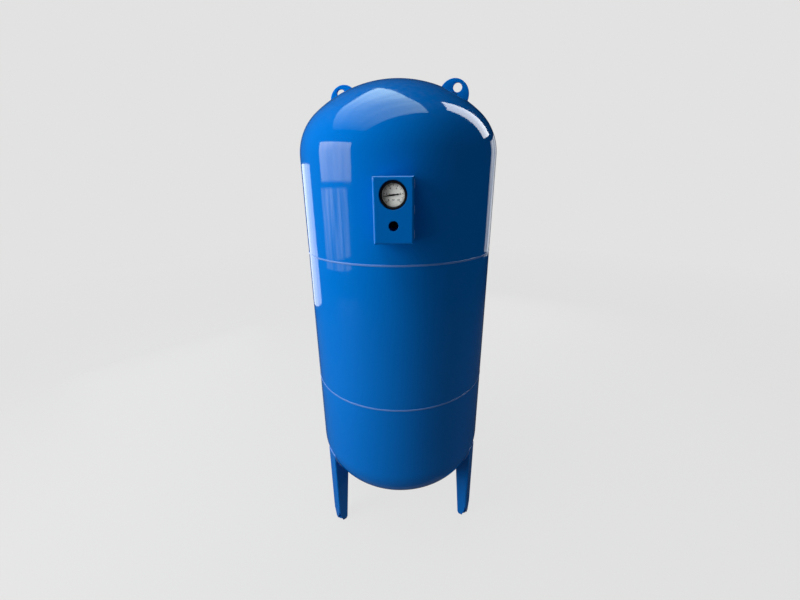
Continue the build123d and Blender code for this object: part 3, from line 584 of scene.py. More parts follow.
def dome_line(offset, hole):
    """Line of a dished head above its tangent line, from its middle hole outwards."""
    crown, knuckle = CROWN + offset, KNUCKLE + offset
    line = [(crown * sin(a), crown * cos(a) - CROWN_DROP) for a in steps(asin(hole / crown), LEAN, 26)]
    turn = [(RADIUS - KNUCKLE + knuckle * sin(a), knuckle * cos(a)) for a in steps(LEAN, pi / 2, 18)]
    return line + turn[1:]


def head_outline(tangent, seam, way, hole):
    """Closed section of a head with its set-in edge; way is 1 with the crown up."""
    skirt = abs(tangent - seam)
    full = WELD_HALF - skirt
    ramp_end = full - 2 * WELD_HALF
    tip = -skirt - JOGGLE
    inside = RADIUS - WALL
    outer = dome_line(0, hole) + [(RADIUS, z) for z in steps(0, full, 20)[1:]]
    edge = [(inside, ramp_end), (inside, tip), (inside - WALL, tip), (inside - WALL, ramp_end)]
    inner = [(inside, z) for z in steps(full, 0, 20)[:-1]] + dome_line(-WALL, hole)[::-1]
    return [(pulled(r, tangent + way * z), tangent + way * z) for r, z in outer + edge + inner]


class TANK_OT_vessel_shells(bpy.types.Operator):
    """Spin the two dished heads and the rolled middle shell with their wall thickness"""

    bl_idname = "tank.vessel_shells"
    bl_label = "Vessel Shells"

    def execute(self, context):
        low, high = LOWER_SEAM + WELD_HALF, UPPER_SEAM - WELD_HALF
        heights = steps(low, high, 48)
        shell = [(pulled(RADIUS, z), z) for z in heights]
        shell += [(pulled(RADIUS - WALL, z), z) for z in reversed(heights)]
        outlines = {
            "upper_head": head_outline(UPPER_TANGENT, UPPER_SEAM, 1, TOP_HOLE),
            "middle_shell": shell,
            "lower_head": head_outline(LOWER_TANGENT, LOWER_SEAM, -1, NECK_HOLE),
        }
        for node, outline in outlines.items():
            piece = finish_mesh(spin_outline(outline, SHELL_SIDES), node + "_skin", finishes["blue_paint"],
                                crease=SHELL_CREASE)
            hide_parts(node)
        return {"FINISHED"}


# ---------------------------------------------------------------- welds
def girth_bead(seam, way):
    """Rippled bead in the groove over a set-in edge; way is -1 where that edge is above."""
    weld = bpy.context.scene.tank_weld
    foot = [(RADIUS, WELD_HALF * way), (RADIUS, -WELD_HALF * way), (RADIUS - WALL, -WELD_HALF * way)]
    crown = [(RADIUS + WELD_RISE * sin(a), -WELD_HALF * way * cos(a)) for a in steps(0, pi, 8)]
    outline = crown + [foot[2]]
    ripples = round(tau * RADIUS / weld.pitch / SECTORS) * SECTORS
    bm = spin_outline([(r, seam + z) for r, z in outline], ripples * 4)
    for vert in bm.verts:
        radius = Vector((vert.co.x, vert.co.y)).length
        around = atan2(vert.co.y, vert.co.x)
        across = (vert.co.z - seam) / WELD_HALF
        proud = max(0.0, radius - RADIUS)
        phase = ripples * around + 1.6 * across ** 2
        swell = 0.10 * sin(around * 37) * sin(around * 11)
        share = 1 - weld.depth * (1 + cos(phase)) - swell
        target = pulled(min(radius, RADIUS), vert.co.z) + proud * min(1.0, share)
        vert.co.x *= target / radius
        vert.co.y *= target / radius
    return bm


class TANK_OT_shell_welds(bpy.types.Operator):
    """Lay the two girth welds and the shell's long seam"""

    bl_idname = "tank.shell_welds"
    bl_label = "Shell Welds"

    def execute(self, context):
        for node, seam, way in (("upper_girth_weld", UPPER_SEAM, 1), ("lower_girth_weld", LOWER_SEAM, -1)):
            piece = finish_mesh(girth_bead(seam, way), node + "_bead", finishes["blue_weld"],
                                crease=RIPPLE_CREASE)
            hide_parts(node)

        radius = 0.0026
        turn = Matrix.Rotation(SEAM_AZIMUTH - pi / 2, 4, "Z")
        line = []
        for height in steps(LOWER_SEAM + WELD_HALF, UPPER_SEAM - WELD_HALF, 60):
            line.append(turn @ Vector((pulled(RADIUS + WELD_RISE - radius, height), 0, height)))
        bm = bmesh.new()
        bead(bm, line, radius)
        piece = finish_mesh(bm, "long_seam_bead", finishes["blue_weld"], crease=BEAD_CREASE)
        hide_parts("shell_seam_weld")
        return {"FINISHED"}


def vessel_radius(height):
    """Outer radius of the lower head at a height between its neck and its tangent line."""
    if height >= LOWER_TANGENT:
        return RADIUS
    return RADIUS - KNUCKLE + sqrt(KNUCKLE ** 2 - (LOWER_TANGENT - height) ** 2)


def leg_weld_line(half, top, face):
    """Line where a leg meets the vessel: up one flange, over and down the other.
    half is the flange's distance from the middle, face the outer face's distance."""
    foot = LOWER_TANGENT - sqrt(KNUCKLE ** 2 - (sqrt(LEG_INNER ** 2 + half ** 2) - RADIUS + KNUCKLE) ** 2)
    rise = []
    for height in steps(foot, top, 24):
        rise.append(Vector((sqrt(vessel_radius(height) ** 2 - half ** 2), half, height)))
    across = []
    for y in steps(half, -half, 16)[1:-1]:
        corner = max(0.0, abs(y) - half + 0.006)
        height = top - 0.006 + sqrt(0.006 ** 2 - corner ** 2)
        x = min(face, sqrt(vessel_radius(height) ** 2 - y ** 2))
        across.append(Vector((x, y, height)))
    fall = [Vector((p.x, -p.y, p.z)) for p in reversed(rise)]
    return rise + across + fall


class TANK_OT_leg_welds(bpy.types.Operator):
    """Weld the three legs to the lower head, outside and inside their folds"""

    bl_idname = "tank.leg_welds"
    bl_label = "Leg Welds"

    def execute(self, context):
        bm = bmesh.new()
        outside = leg_weld_line(LEG_HALF, LEG_TOP, RADIUS)
        web_inside = RADIUS - LEG_SHEET
        web_top = LOWER_TANGENT - sqrt(KNUCKLE ** 2 - (web_inside - RADIUS + KNUCKLE) ** 2)
        inside = leg_weld_line(LEG_HALF - LEG_SHEET, web_top, web_inside)
        for turn in LEG_TURNS:
            place = Matrix.Rotation(turn - pi / 2, 4, "Z")
            bead(bm, [place @ p for p in outside], FILLET * 0.85)
            bead(bm, [place @ p for p in inside], FILLET * 0.7)
        piece = finish_mesh(bm, "leg_weld_beads", finishes["blue_weld"], crease=BEAD_CREASE)
        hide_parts("leg_welds")
        return {"FINISHED"}


# ---------------------------------------------------------------- foot plates
ANCHOR_RADIUS = 0.300           # distance of an anchor hole from the vessel's axis
ANCHOR_HOLE = 0.007
# Sides of a foot plate, as the direction and distance of each from its anchor hole.
PLATE_SIDES = ((0, 0.0208), (45, 0.0239), (90, 0.0248), (135, 0.0211),
               (180, 0.0130), (225, 0.0211), (270, 0.0248), (315, 0.0239))


def plate_ring(height, inset, count=96):
    """Outline of a foot plate about its anchor hole."""
    points = []
    for k in range(count):
        around = tau * k / count
        reach = min((distance - inset) / cos(around - radians(side)) for side, distance in PLATE_SIDES
                    if cos(around - radians(side)) > 0.01)
        points.append((reach * cos(around), reach * sin(around), height))
    return points


class TANK_OT_foot_plates(bpy.types.Operator):
    """Cut the three foot plates with their clipped corners and anchor holes"""

    bl_idname = "tank.foot_plates"
    bl_label = "Foot Plates"

    def execute(self, context):
        edge, count = 0.0006, 96
        for node in ("left_foot_plate", "right_foot_plate", "rear_foot_plate"):
            low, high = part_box(node)
            turn = atan2(low.y + high.y, low.x + high.x)
            place = Matrix.Rotation(turn, 4, "Z") @ Matrix.Translation((ANCHOR_RADIUS, 0, 0))
            rings = [round_ring(ANCHOR_HOLE, low.z, count), plate_ring(low.z, edge),
                     plate_ring(low.z + edge, 0), plate_ring(high.z - edge, 0), plate_ring(high.z, edge),
                     round_ring(ANCHOR_HOLE, high.z, count), round_ring(ANCHOR_HOLE, low.z, count)]
            bm = bmesh.new()
            stack_rings(bm, rings, place)
            piece = finish_mesh(bm, node + "_clipped", finishes["blue_part"])
            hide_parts(node)
        return {"FINISHED"}


# ---------------------------------------------------------------- lifting eyes
def eye_place(turn):
    """Frame of an eye: x along the plate outwards, y across it, z out of the crown."""
    lean = asin(EYE_FOOT / CROWN)
    height = UPPER_TANGENT - CROWN_DROP + CROWN * cos(lean)
    return (Matrix.Rotation(turn - pi / 2, 4, "Z") @ Matrix.Translation((EYE_FOOT, 0, height))
            @ Matrix.Rotation(lean, 4, "Y"))


def eye_plate():
    """Flame-cut disc with a hole and softened edges, cut off just inside the crown's wall."""
    bm = bmesh.new()
    count = 96
    upright = Matrix.Rotation(pi / 2, 4, "X")
    rim = bmesh.ops.create_circle(bm, segments=count, radius=EYE_RADIUS, matrix=upright)["verts"]
    hole = bmesh.ops.create_circle(bm, segments=count, radius=EYE_HOLE,
                                   matrix=Matrix.Translation((0, 0, EYE_HOLE_RISE)) @ upright)["verts"]
    bmesh.ops.bridge_loops(bm, edges=bm.edges[:])
    bmesh.ops.translate(bm, verts=rim + hole, vec=(0, -EYE_THICK / 2, 0))
    sheet = bm.faces[:]
    grown = bmesh.ops.extrude_face_region(bm, geom=sheet)["geom"]
    moved = [g for g in grown if isinstance(g, bmesh.types.BMVert)]
    bmesh.ops.translate(bm, verts=moved, vec=(0, EYE_THICK, 0))
    edges = [e for e in bm.edges if e.is_manifold and e.calc_face_angle(0) > 1]
    bmesh.ops.bevel(bm, geom=edges, offset=0.0012, segments=3, profile=0.5, affect="EDGES", material=-1)
    depth = 0.003
    cut = bmesh.ops.bisect_plane(bm, geom=bm.verts[:] + bm.edges[:] + bm.faces[:],
                                 plane_co=(0, 0, -depth), plane_no=(0, 0, -1), clear_outer=True)
    bmesh.ops.holes_fill(bm, edges=[e for e in cut["geom_cut"] if isinstance(e, bmesh.types.BMEdge)])
    return bm


def eye_weld_line():
    """Closed line round the foot of an eye, on the crown."""
    half = sqrt(EYE_RADIUS ** 2 - 0.0027 ** 2)
    side = EYE_THICK / 2
    flat = [(x, side) for x in steps(-half, half, 12)] + [(x, -side) for x in steps(half, -half, 12)]
    flat.append(flat[0])
    return [Vector((x, y, sqrt(CROWN ** 2 - x ** 2 - y ** 2) - CROWN)) for x, y in flat]


class TANK_OT_lifting_eyes(bpy.types.Operator):
    """Cut the two lifting eyes and weld them to the crown"""

    bl_idname = "tank.lifting_eyes"
    bl_label = "Lifting Eyes"

    def execute(self, context):
        beads = bmesh.new()
        for name, turn in zip(("right_lifting_eye", "left_lifting_eye"), EYE_TURNS):
            bm = eye_plate()
            bmesh.ops.transform(bm, matrix=eye_place(turn), verts=bm.verts)
            piece = finish_mesh(bm, name + "_plate", finishes["blue_part"])
            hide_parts(name)
            bead(beads, [eye_place(turn) @ p for p in eye_weld_line()], FILLET * 0.85, closed=True)
        piece = finish_mesh(beads, "eye_weld_beads", finishes["blue_weld"], crease=BEAD_CREASE)
        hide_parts("lifting_eye_welds")
        return {"FINISHED"}


# ---------------------------------------------------------------- guard welds
class TANK_OT_guard_welds(bpy.types.Operator):
    """Tack the gauge guard's side flanges to the upper head"""

    bl_idname = "tank.guard_welds"
    bl_label = "Guard Welds"

    def execute(self, context):
        low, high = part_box("gauge_guard")
        stitch, margin, count = 0.026, 0.004, 3
        bm = bmesh.new()
        for side in (low.x, high.x):
            depth = -sqrt(RADIUS ** 2 - side ** 2)
            for middle in steps(low.z + margin + stitch / 2, high.z - margin - stitch / 2, count - 1):
                heights = steps(middle - stitch / 2, middle + stitch / 2, 8)
                line = [Vector((side, depth, z)) for z in heights]
                bead(bm, line, FILLET * 0.85)
        piece = finish_mesh(bm, "guard_weld_beads", finishes["blue_weld"], crease=BEAD_CREASE)
        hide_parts("guard_welds")
        return {"FINISHED"}


# ---------------------------------------------------------------- gauge dial
def on_dial(radius, angle, roll=0.0):
    """Frame on the dial's face: x outwards along a direction, or turned by roll, and z out of it."""
    spot = Vector((radius * cos(radians(angle)), 0, radius * sin(radians(angle))))
    place = Matrix.Translation(GAUGE_CENTRE + spot + Vector((0, -DIAL_FACE, 0)))
    return place @ Matrix.Rotation(pi / 2, 4, "X") @ Matrix.Rotation(radians(roll), 4, "Z")


def print_bar(bm, radius, angle, length, width):
    """One radial stroke of the scale."""
    place = on_dial(radius, angle, angle) @ Matrix.Diagonal((length, width, 2 * INK, 1))
    bmesh.ops.create_cube(bm, size=1.0, matrix=place)


def print_arc(bm, radius, width):
    """Line round the scale, from its first stroke to its last."""
    start = on_dial(0, 0) @ Matrix.Rotation(radians(SCALE_START), 4, "Z")
    half = width / 2
    section = ((-half, -INK), (half, -INK), (half, INK), (-half, INK))
    corners = [bm.verts.new(start @ Vector((radius + out, 0, up))) for out, up in section]
    face = bm.faces.new(corners)
    centre = GAUGE_CENTRE + Vector((0, -DIAL_FACE, 0))
    bmesh.ops.spin(bm, geom=[face], cent=centre, axis=(0, 1, 0), dvec=(0, 0, 0),
                   angle=radians(SCALE_SWEEP), steps=120, use_merge=False, use_duplicate=False)


def print_word(bm, word, size, place):
    """Word or number on the dial, centred on a frame."""
    text = bpy.data.curves.new("word", "FONT")
    text.body = word
    text.size = size
    text.align_x = "CENTER"
    text.align_y = "CENTER"
    text.extrude = INK
    text.offset = 0.00009
    text.resolution_u = 4
    holder = bpy.data.objects.new("word", text)
    bpy.context.scene.collection.objects.link(holder)
    take_mesh(bm, holder, place)


class TANK_OT_dial_print(bpy.types.Operator):
    """Print the scale, its numbers and its unit on the dial"""

    bl_idname = "tank.dial_print"
    bl_label = "Dial Print"

    def execute(self, context):
        gauge = context.scene.tank_gauge
        bm = bmesh.new()
        print_arc(bm, SCALE_RADIUS, 0.0005)
        total = gauge.full_scale * gauge.fine_steps
        for k in range(total + 1):
            angle = SCALE_START - SCALE_SWEEP * k / total
            whole = k % gauge.fine_steps == 0
            length, width = (0.0046, 0.0010) if whole else (0.0026, 0.00045)
            print_bar(bm, SCALE_RADIUS - length / 2, angle, length, width)
        for number in range(0, gauge.full_scale + 1, 2):
            angle = SCALE_START - SCALE_SWEEP * number / gauge.full_scale
            print_word(bm, str(number), 0.0062, on_dial(0.0170, angle))
        print_word(bm, "bar", 0.0050, on_dial(0.0112, 270))
        finish_mesh(bm, "dial_print", finishes["dial_ink"])
        return {"FINISHED"}


class TANK_OT_needle(bpy.types.Operator):
    """Press the gauge's ridged needle onto its domed hub"""

    bl_idname = "tank.needle"
    bl_label = "Needle"

    def execute(self, context):
        low, edge, ridge = 0.0018, 0.0020, 0.0024      # heights above the dial's face
        stations = ((-0.014, 0.0013), (-0.009, 0.0019), (-0.0075, 0.0010), (-0.002, 0.0020),
                    (0.002, 0.0020), (0.0252, 0.0005))
        sections = [[(x, half, low), (x, half, edge), (x, 0, ridge), (x, -half, edge), (x, -half, low)]
                    for x, half in stations]
        ends = [[(stations[0][0], 0, low)], [(stations[-1][0], 0, low)]]
        place = on_dial(0, 0, NEEDLE_REST)
        bm = bmesh.new()
        stack_rings(bm, [ends[0], *sections, ends[1]], place)
        bore, hub, foot, top, edge, skin = 0.00095, 0.0026, 0.0013, 0.0038, 0.0008, 0.0002
        dome = [(hub - edge + edge * cos(a), top - edge + edge * sin(a)) for a in steps(0, pi / 2, 5)]
        outline = [(bore, foot), (hub, foot), *dome]
        stack_rings(bm, [[(0, 0, top - skin)], round_ring(bore, top - skin),
                         *(round_ring(r, z) for r, z in outline), [(0, 0, top)]], place)
        piece = finish_mesh(bm, "ridged_needle", finishes["needle_black"],
                            body="needle_assembly")
        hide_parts("needle")
        return {"FINISHED"}


# ---------------------------------------------------------------- charging valve
class TANK_OT_valve_spring(bpy.types.Operator):
    """Wind the valve pin's return spring"""

    bl_idname = "tank.valve_spring"
    bl_label = "Valve Spring"

    def execute(self, context):
        low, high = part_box("valve_spring")
        wire, turns, per_turn = 0.00015, 7, 24
        middle = (low.z + high.z) / 2
        radius = (high.x - low.x) / 2 - wire
        start, end = high.y - wire, low.y + wire
        points, count = [], turns * per_turn
        for k, y in enumerate(steps(start, end, count)):
            around = tau * k / per_turn
            points.append((radius * cos(around), y, middle + radius * sin(around)))
        bm = bmesh.new()
        tube_along(bm, points, [wire] * len(points))
        piece = finish_mesh(bm, "valve_spring_coil", finishes["bare_steel"],
                            crease=BEAD_CREASE)
        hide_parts("valve_spring")
        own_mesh(piece)
        return {"FINISHED"}


# ---------------------------------------------------------------- water connection
def bolt_places():
    for k in range(BOLT_COUNT):
        turn = tau * (k + 0.5) / BOLT_COUNT
        yield Matrix.Translation((BOLT_CIRCLE * cos(turn), BOLT_CIRCLE * sin(turn), 0))


class TANK_OT_flange_fasteners(bpy.types.Operator):
    """Fit the flanges' bolts and nuts, with chamfered hexagons and cut threads"""

    bl_idname = "tank.flange_fasteners"
    bl_label = "Flange Fasteners"

    def execute(self, context):
        low, high = (corner.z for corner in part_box("flange_bolts"))
        nut_low, nut_high = (corner.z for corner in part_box("flange_nuts"))
        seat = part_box("counter_flange")[0].z
        slope = tan(radians(30))
        face = HEX_HALF * 0.97
        chamfer, depth = 0.0009, 0.0010
        thread_end = high - chamfer
        bolts, nuts = bmesh.new(), bmesh.new()
        for place in bolt_places():
            stack_rings(bolts, [
                [(0, 0, low)], round_ring(face, low), hexagon_ring(HEX_HALF, low + 0.0002, -slope),
                hexagon_ring(HEX_HALF, seat), round_ring(BOLT_RADIUS, seat),
                *thread_rings(BOLT_RADIUS, depth, BOLT_PITCH, nut_low, thread_end),
                round_ring(BOLT_RADIUS - depth - 0.0002, high), [(0, 0, high)]], place)
            stack_rings(nuts, [
                round_ring(BOLT_RADIUS, nut_low), round_ring(face, nut_low),
                hexagon_ring(HEX_HALF, nut_low + 0.0002, -slope),
                hexagon_ring(HEX_HALF, nut_high - 0.0002, slope), round_ring(face, nut_high),
                round_ring(BOLT_RADIUS + 0.0006, nut_high), round_ring(BOLT_RADIUS, nut_high - 0.0006),
                round_ring(BOLT_RADIUS, nut_low)], place)
        for bm, name, node in ((bolts, "threaded_bolts", "flange_bolts"),
                               (nuts, "chamfered_nuts", "flange_nuts")):
            piece = finish_mesh(bm, name, finishes["galvanised"], crease=THREAD_CREASE)
            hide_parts(node)
        return {"FINISHED"}


class TANK_OT_water_socket(bpy.types.Operator):
    """Cut the pipe thread in the water connection's bore"""

    bl_idname = "tank.water_socket"
    bl_label = "Water Socket"

    def execute(self, context):
        low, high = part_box("water_connection")
        outer, minor, depth, pitch, count = high.x, 0.0195, 0.00148, 0.00231, 96
        lead, round_off = 0.0012, 0.0010
        stack = [round_ring(minor, high.z, count), round_ring(outer, high.z, count),
                 round_ring(outer, low.z + round_off, count), round_ring(outer - round_off, low.z, count),
                 round_ring(minor + depth, low.z, count)]
        stack += thread_rings(minor, -depth, pitch, low.z + lead, low.z + 0.024, count)
        stack += [round_ring(minor, low.z + 0.025, count), round_ring(minor, high.z, count)]
        bm = bmesh.new()
        stack_rings(bm, stack, Matrix.Identity(4))
        piece = finish_mesh(bm, "threaded_water_connection", finishes["galvanised"],
                            crease=THREAD_CREASE)
        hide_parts("water_connection")
        return {"FINISHED"}


# ---------------------------------------------------------------- bladder
class TANK_OT_bladder(bpy.types.Operator):
    """Mould the pleated rubber bladder between its two necks"""

    bl_idname = "tank.bladder"
    bl_label = "Bladder"

    def execute(self, context):
        low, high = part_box("bladder")
        neck, lip, wall = 0.060, 0.082, 0.003
        foot, shoulder, crown = low.z + 0.004, 0.171, high.z - 0.031
        top = 0.020
        line = [(lip, low.z), (lip, foot), (neck, foot), (neck, shoulder)]
        for share in steps(0, 1, 60)[1:-1]:
            full = sin(pi * share) ** 0.55
            base = neck + (top - neck) * share
            line.append((base + (0.252 - base) * full, shoulder + (crown - shoulder) * share))
        line += [(top, crown), (top, high.z)]
        bm = spin_outline(line, 144, closed=False)
        pleats = 12
        for vert in bm.verts:
            share = min(1.0, max(0.0, (vert.co.z - shoulder) / (crown - shoulder)))
            around = atan2(vert.co.y, vert.co.x)
            fold = 1 - 0.055 * sin(pi * share) ** 2 * (0.5 + 0.5 * cos(pleats * around)) ** 3
            vert.co.x *= fold
            vert.co.y *= fold
        bmesh.ops.remove_doubles(bm, verts=bm.verts, dist=1e-6)
        bmesh.ops.recalc_face_normals(bm, faces=bm.faces)
        bmesh.ops.solidify(bm, geom=bm.faces[:], thickness=wall)
        piece = finish_mesh(bm, "pleated_bladder", finishes["bladder_rubber"],
                            crease=RIPPLE_CREASE, recalc=False)
        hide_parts("bladder")
        return {"FINISHED"}


# ---------------------------------------------------------------- finishes on the CAD parts
class TANK_OT_part_finishes(bpy.types.Operator):
    """Give every part that keeps its own shape its finish"""

    bl_idname = "tank.part_finishes"
    bl_label = "Part Finishes"

    def execute(self, context):
        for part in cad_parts.values():
            slot = part.material_slots[0].material.name
            part.material_slots[0].material = finishes["blue_part" if slot == "blue_paint" else slot]
        return {"FINISHED"}


# ---------------------------------------------------------------- stage
# Soft lights: name, place, target, width and height, power in watts.
LIGHTS = (
    ("left_key", (-2.7, -1.45, 1.55), (0, 0, 0.8), (1.5, 3.0), 105),
    ("roof_light", (-1.0, -0.6, 3.2), (0, 0, 1.5), (1.8, 1.1), 28),
    ("right_fill", (2.6, -1.0, 1.4), (0, 0, 0.9), (1.5, 2.5), 12),
    ("rear_fill", (1.3, 2.7, 1.6), (0, 0, 0.9), (1.5, 2.2), 34),
    ("floor_bounce", (0, 0, 0.005), (0, 0, 1.0), (3.0, 3.0), 4.5),
)
COOL, WARM, PALE, SKY = (0.93, 0.97, 1.0), (1.0, 0.90, 0.62), (1.0, 0.95, 0.75), (0.70, 0.96, 1.0)
# Reflector cards: name, place, target, width and height, strength, fade, streaks, roll, tint.
CARDS = (
    ("window_card", (-2.1, -0.90, 1.76), (0, -0.25, 1.4), (1.75, 0.72), 5.2, 0.5, 0.3, 0.0, WARM),
    ("low_window_card", (-2.1, -0.75, 1.02), (0, -0.25, 1.2), (1.5, 0.66), 2.4, 0.5, 0.95, 0.0, PALE),
    ("rear_left_card", (-2.2, 1.57, 0.85), (-0.27, -0.17, 1.2), (1.5, 1.5), 2.6, 0.2, 0.3, 0.0, COOL),
    ("roof_card", (-0.92, -0.55, 3.1), (-0.92, -0.55, 0), (1.95, 2.75), 3.4, 0.92, 0.25,
     radians(-55), SKY),
    ("right_roof_card", (1.49, 0.69, 2.76), (0.2, -0.21, 1.53), (0.7, 1.6), 6.0, 0.2, 0.2, 0.0, COOL),
    ("floor_card", (0, 0, 0.002), (0, 0, 1.0), (0.6, 0.6), 0.08, 0.0, 0.0, 0.0, COOL),
    ("right_card", (1.5, 1.5, 1.35), (0, 0, 1.2), (0.9, 1.2), 2.0, 0.2, 0.9, 0.0, COOL),
)


def facing(place, target):
    """Turn that points something's -z from its place to a target."""
    return (Vector(target) - Vector(place)).to_track_quat("-Z", "Y").to_euler()


def soft_light(name, place, target, size, power):
    """Large soft light that gives shape without showing in the gloss."""
    data = bpy.data.lights.new(name, "AREA")
    data.shape = "RECTANGLE"
    data.size, data.size_y = size
    data.energy = power
    light = bpy.data.objects.new(name, data)
    light.location = place
    light.rotation_euler = facing(place, target)
    light.visible_glossy = False
    light.visible_camera = False
    bpy.context.scene.collection.objects.link(light)


def card_finish(name, strength, fade, streaks, tint):
    """Glow of a reflector card: fade dims it towards its lower edge, and streaks run down it."""
    finish, tree = new_finish(name)
    place = object_place(tree)
    up = add(tree, "ShaderNodeSeparateXYZ", {0: place}).outputs[1]
    drop = ramp(tree, up, -0.5, 0.5, 1 - fade, 1.0)
    long_way = add(tree, "ShaderNodeMapping", {"Vector": place, "Scale": (9.0, 0.7, 1.0)}).outputs[0]
    streak = ramp(tree, noise(tree, long_way, 1.0, 3), 0.35, 0.65, 1 - streaks, 1.0)
    power = math(tree, "MULTIPLY", math(tree, "MULTIPLY", drop, streak), strength)
    glow = add(tree, "ShaderNodeEmission", {"Color": (*tint, 1), "Strength": power})
    output = add(tree, "ShaderNodeOutputMaterial")
    tree.links.new(glow.outputs[0], output.inputs["Surface"])
    return finish


def card(name, place, target, size, strength, fade, streaks, roll, tint):
    """Reflector card that shows only in the gloss."""
    bm = bmesh.new()
    bmesh.ops.create_grid(bm, x_segments=1, y_segments=1, size=0.5)
    mesh = bpy.data.meshes.new(name)
    bm.to_mesh(mesh)
    bm.free()
    mesh.materials.append(card_finish(name, strength, fade, streaks, tint))
    sheet = bpy.data.objects.new(name, mesh)
    sheet.location = place
    sheet.rotation_euler = (facing(place, target).to_matrix() @ Matrix.Rotation(roll, 3, "Z")).to_euler()
    sheet.scale = (*size, 1)
    for kind in ("camera", "diffuse", "transmission", "volume_scatter", "shadow"):
        setattr(sheet, "visible_" + kind, False)
    bpy.context.scene.collection.objects.link(sheet)


def build_floor(color):
    """Round pale ground that fades into the background.  Part of its tone is its own, so it stays even."""
    own = 0.94
    finish, tree = new_finish("Floor")
    place = object_place(tree)
    out = add(tree, "ShaderNodeVectorMath", {0: place}, operation="LENGTH").outputs["Value"]
    tone = group(tree, "Tone drift", Color=(0.05, 0.05, 0.05, 1), Scale=0.8, Amount=0.02)
    gloss = group(tree, "Gloss patches", Mean=0.7, Spread=0.1, Scale=6.0)
    shader = shade(tree, tone["Color"], gloss["Roughness"], Emission_Color=(*color, 1),
                   Specular_IOR_Level=0.1)
    seen = add(tree, "ShaderNodeLightPath").outputs["Is Camera Ray"]
    tree.links.new(math(tree, "MULTIPLY", seen, own), shader.inputs["Emission Strength"])
    fading = ramp(tree, out, 1.6, 7.5, 1.0, 0.0)
    above = math(tree, "SUBTRACT", 1.0, add(tree, "ShaderNodeNewGeometry").outputs["Backfacing"])
    tree.links.new(math(tree, "MULTIPLY", fading, above), shader.inputs["Alpha"])
    bm = bmesh.new()
    bmesh.ops.create_circle(bm, cap_ends=True, segments=96, radius=8.0)
    mesh = bpy.data.meshes.new("floor")
    bm.to_mesh(mesh)
    bm.free()
    mesh.materials.append(finish)
    floor = bpy.data.objects.new("floor", mesh)
    floor.location.z = -0.0002
    bpy.context.scene.collection.objects.link(floor)


def build_world(color):
    """Even pale background; the light it gives comes mostly from behind on the left."""
    world = bpy.data.worlds.new("Studio")
    bpy.context.scene.world = world
    world.use_nodes = True
    tree = world.node_tree
    tree.nodes.clear()
    way = add(tree, "ShaderNodeTexCoord").outputs["Generated"]
    bright = Vector((-0.72, 0.62, 0.30)).normalized()
    along = add(tree, "ShaderNodeVectorMath", {0: way, 1: bright}, operation="DOT_PRODUCT")
    toward = along.outputs["Value"]
    side = ramp(tree, toward, 0.45, 0.98, 0.05, 0.85)
    rays = add(tree, "ShaderNodeLightPath").outputs
    side = math(tree, "MULTIPLY", side, ramp(tree, rays["Is Glossy Ray"], 0, 1, 1.0, 0.05))
    seen = add(tree, "ShaderNodeBackground", {"Color": (*color, 1), "Strength": 1.0})
    lit = add(tree, "ShaderNodeBackground", {"Color": (0.95, 0.98, 1.0, 1), "Strength": side})
    mix = add(tree, "ShaderNodeMixShader", {
        0: rays["Is Camera Ray"], 1: lit.outputs[0], 2: seen.outputs[0]})
    output = add(tree, "ShaderNodeOutputWorld")
    tree.links.new(mix.outputs[0], output.inputs["Surface"])


def build_camera(stage):
    """Camera on the front, a little to the right, looking down."""
    data = bpy.data.cameras.new("camera")
    data.lens = stage.lens
    data.clip_start = 0.05
    camera = bpy.data.objects.new("camera", data)
    level = stage.distance
    camera.location = (level * sin(stage.azimuth), -level * cos(stage.azimuth), stage.height)
    aim = Matrix.Rotation(stage.azimuth + stage.yaw, 4, "Z")
    tilt = Matrix.Rotation(pi / 2 - stage.pitch, 4, "X")
    lean = Matrix.Rotation(stage.roll, 4, "Z")
    camera.rotation_euler = (aim @ tilt @ lean).to_euler()
    bpy.context.scene.collection.objects.link(camera)
    bpy.context.scene.camera = camera


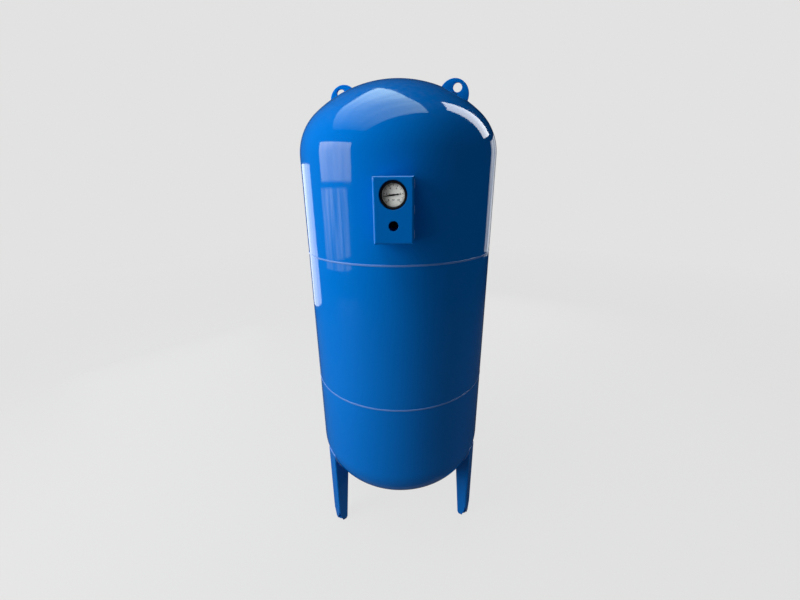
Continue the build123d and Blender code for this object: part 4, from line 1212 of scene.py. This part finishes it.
class TANK_OT_stage(bpy.types.Operator):
    """Set up the floor, the background, the lights and the camera"""

    bl_idname = "tank.stage"
    bl_label = "Stage"

    def execute(self, context):
        stage = context.scene.tank_stage
        context.scene.view_settings.view_transform = "Standard"
        build_floor(stage.floor)
        build_world(stage.floor)
        for light in LIGHTS:
            soft_light(*light)
        for reflector in CARDS:
            card(*reflector)
        build_camera(stage)
        return {"FINISHED"}


# ---------------------------------------------------------------- panel and registration
BUILD_ORDER = (
    TANK_OT_part_finishes,
    TANK_OT_vessel_shells,
    TANK_OT_shell_welds,
    TANK_OT_leg_welds,
    TANK_OT_foot_plates,
    TANK_OT_lifting_eyes,
    TANK_OT_guard_welds,
    TANK_OT_dial_print,
    TANK_OT_needle,
    TANK_OT_valve_spring,
    TANK_OT_flange_fasteners,
    TANK_OT_water_socket,
    TANK_OT_bladder,
    TANK_OT_stage,
)


class TANK_PT_panel(bpy.types.Panel):
    """Steps that dress the tank, in order"""

    bl_label = "Tank"
    bl_idname = "TANK_PT_panel"
    bl_space_type = "VIEW_3D"
    bl_region_type = "UI"
    bl_category = "Tank"

    def draw(self, context):
        layout = self.layout
        for name in ("tank_paint", "tank_weld", "tank_gauge", "tank_stage"):
            settings = getattr(context.scene, name)
            box = layout.box()
            for prop in settings.bl_rna.properties:
                if not prop.is_readonly and prop.identifier != "name":
                    box.prop(settings, prop.identifier)
        for step in BUILD_ORDER:
            layout.operator(step.bl_idname)


SETTINGS = {
    "tank_paint": TankPaintSettings,
    "tank_weld": TankWeldSettings,
    "tank_gauge": TankGaugeSettings,
    "tank_stage": TankStageSettings,
}


def register():
    for kind in (*SETTINGS.values(), *BUILD_ORDER, TANK_PT_panel):
        bpy.utils.register_class(kind)
    for name, kind in SETTINGS.items():
        setattr(bpy.types.Scene, name, PointerProperty(type=kind))


def unregister():
    for name in SETTINGS:
        delattr(bpy.types.Scene, name)
    for kind in (TANK_PT_panel, *reversed(BUILD_ORDER), *SETTINGS.values()):
        bpy.utils.unregister_class(kind)


def main():
    register()
    finishes.update(build_finishes())
    for step in BUILD_ORDER:
        family, name = step.bl_idname.split(".")
        getattr(getattr(bpy.ops, family), name)()


if __name__ == "__main__":
    main()
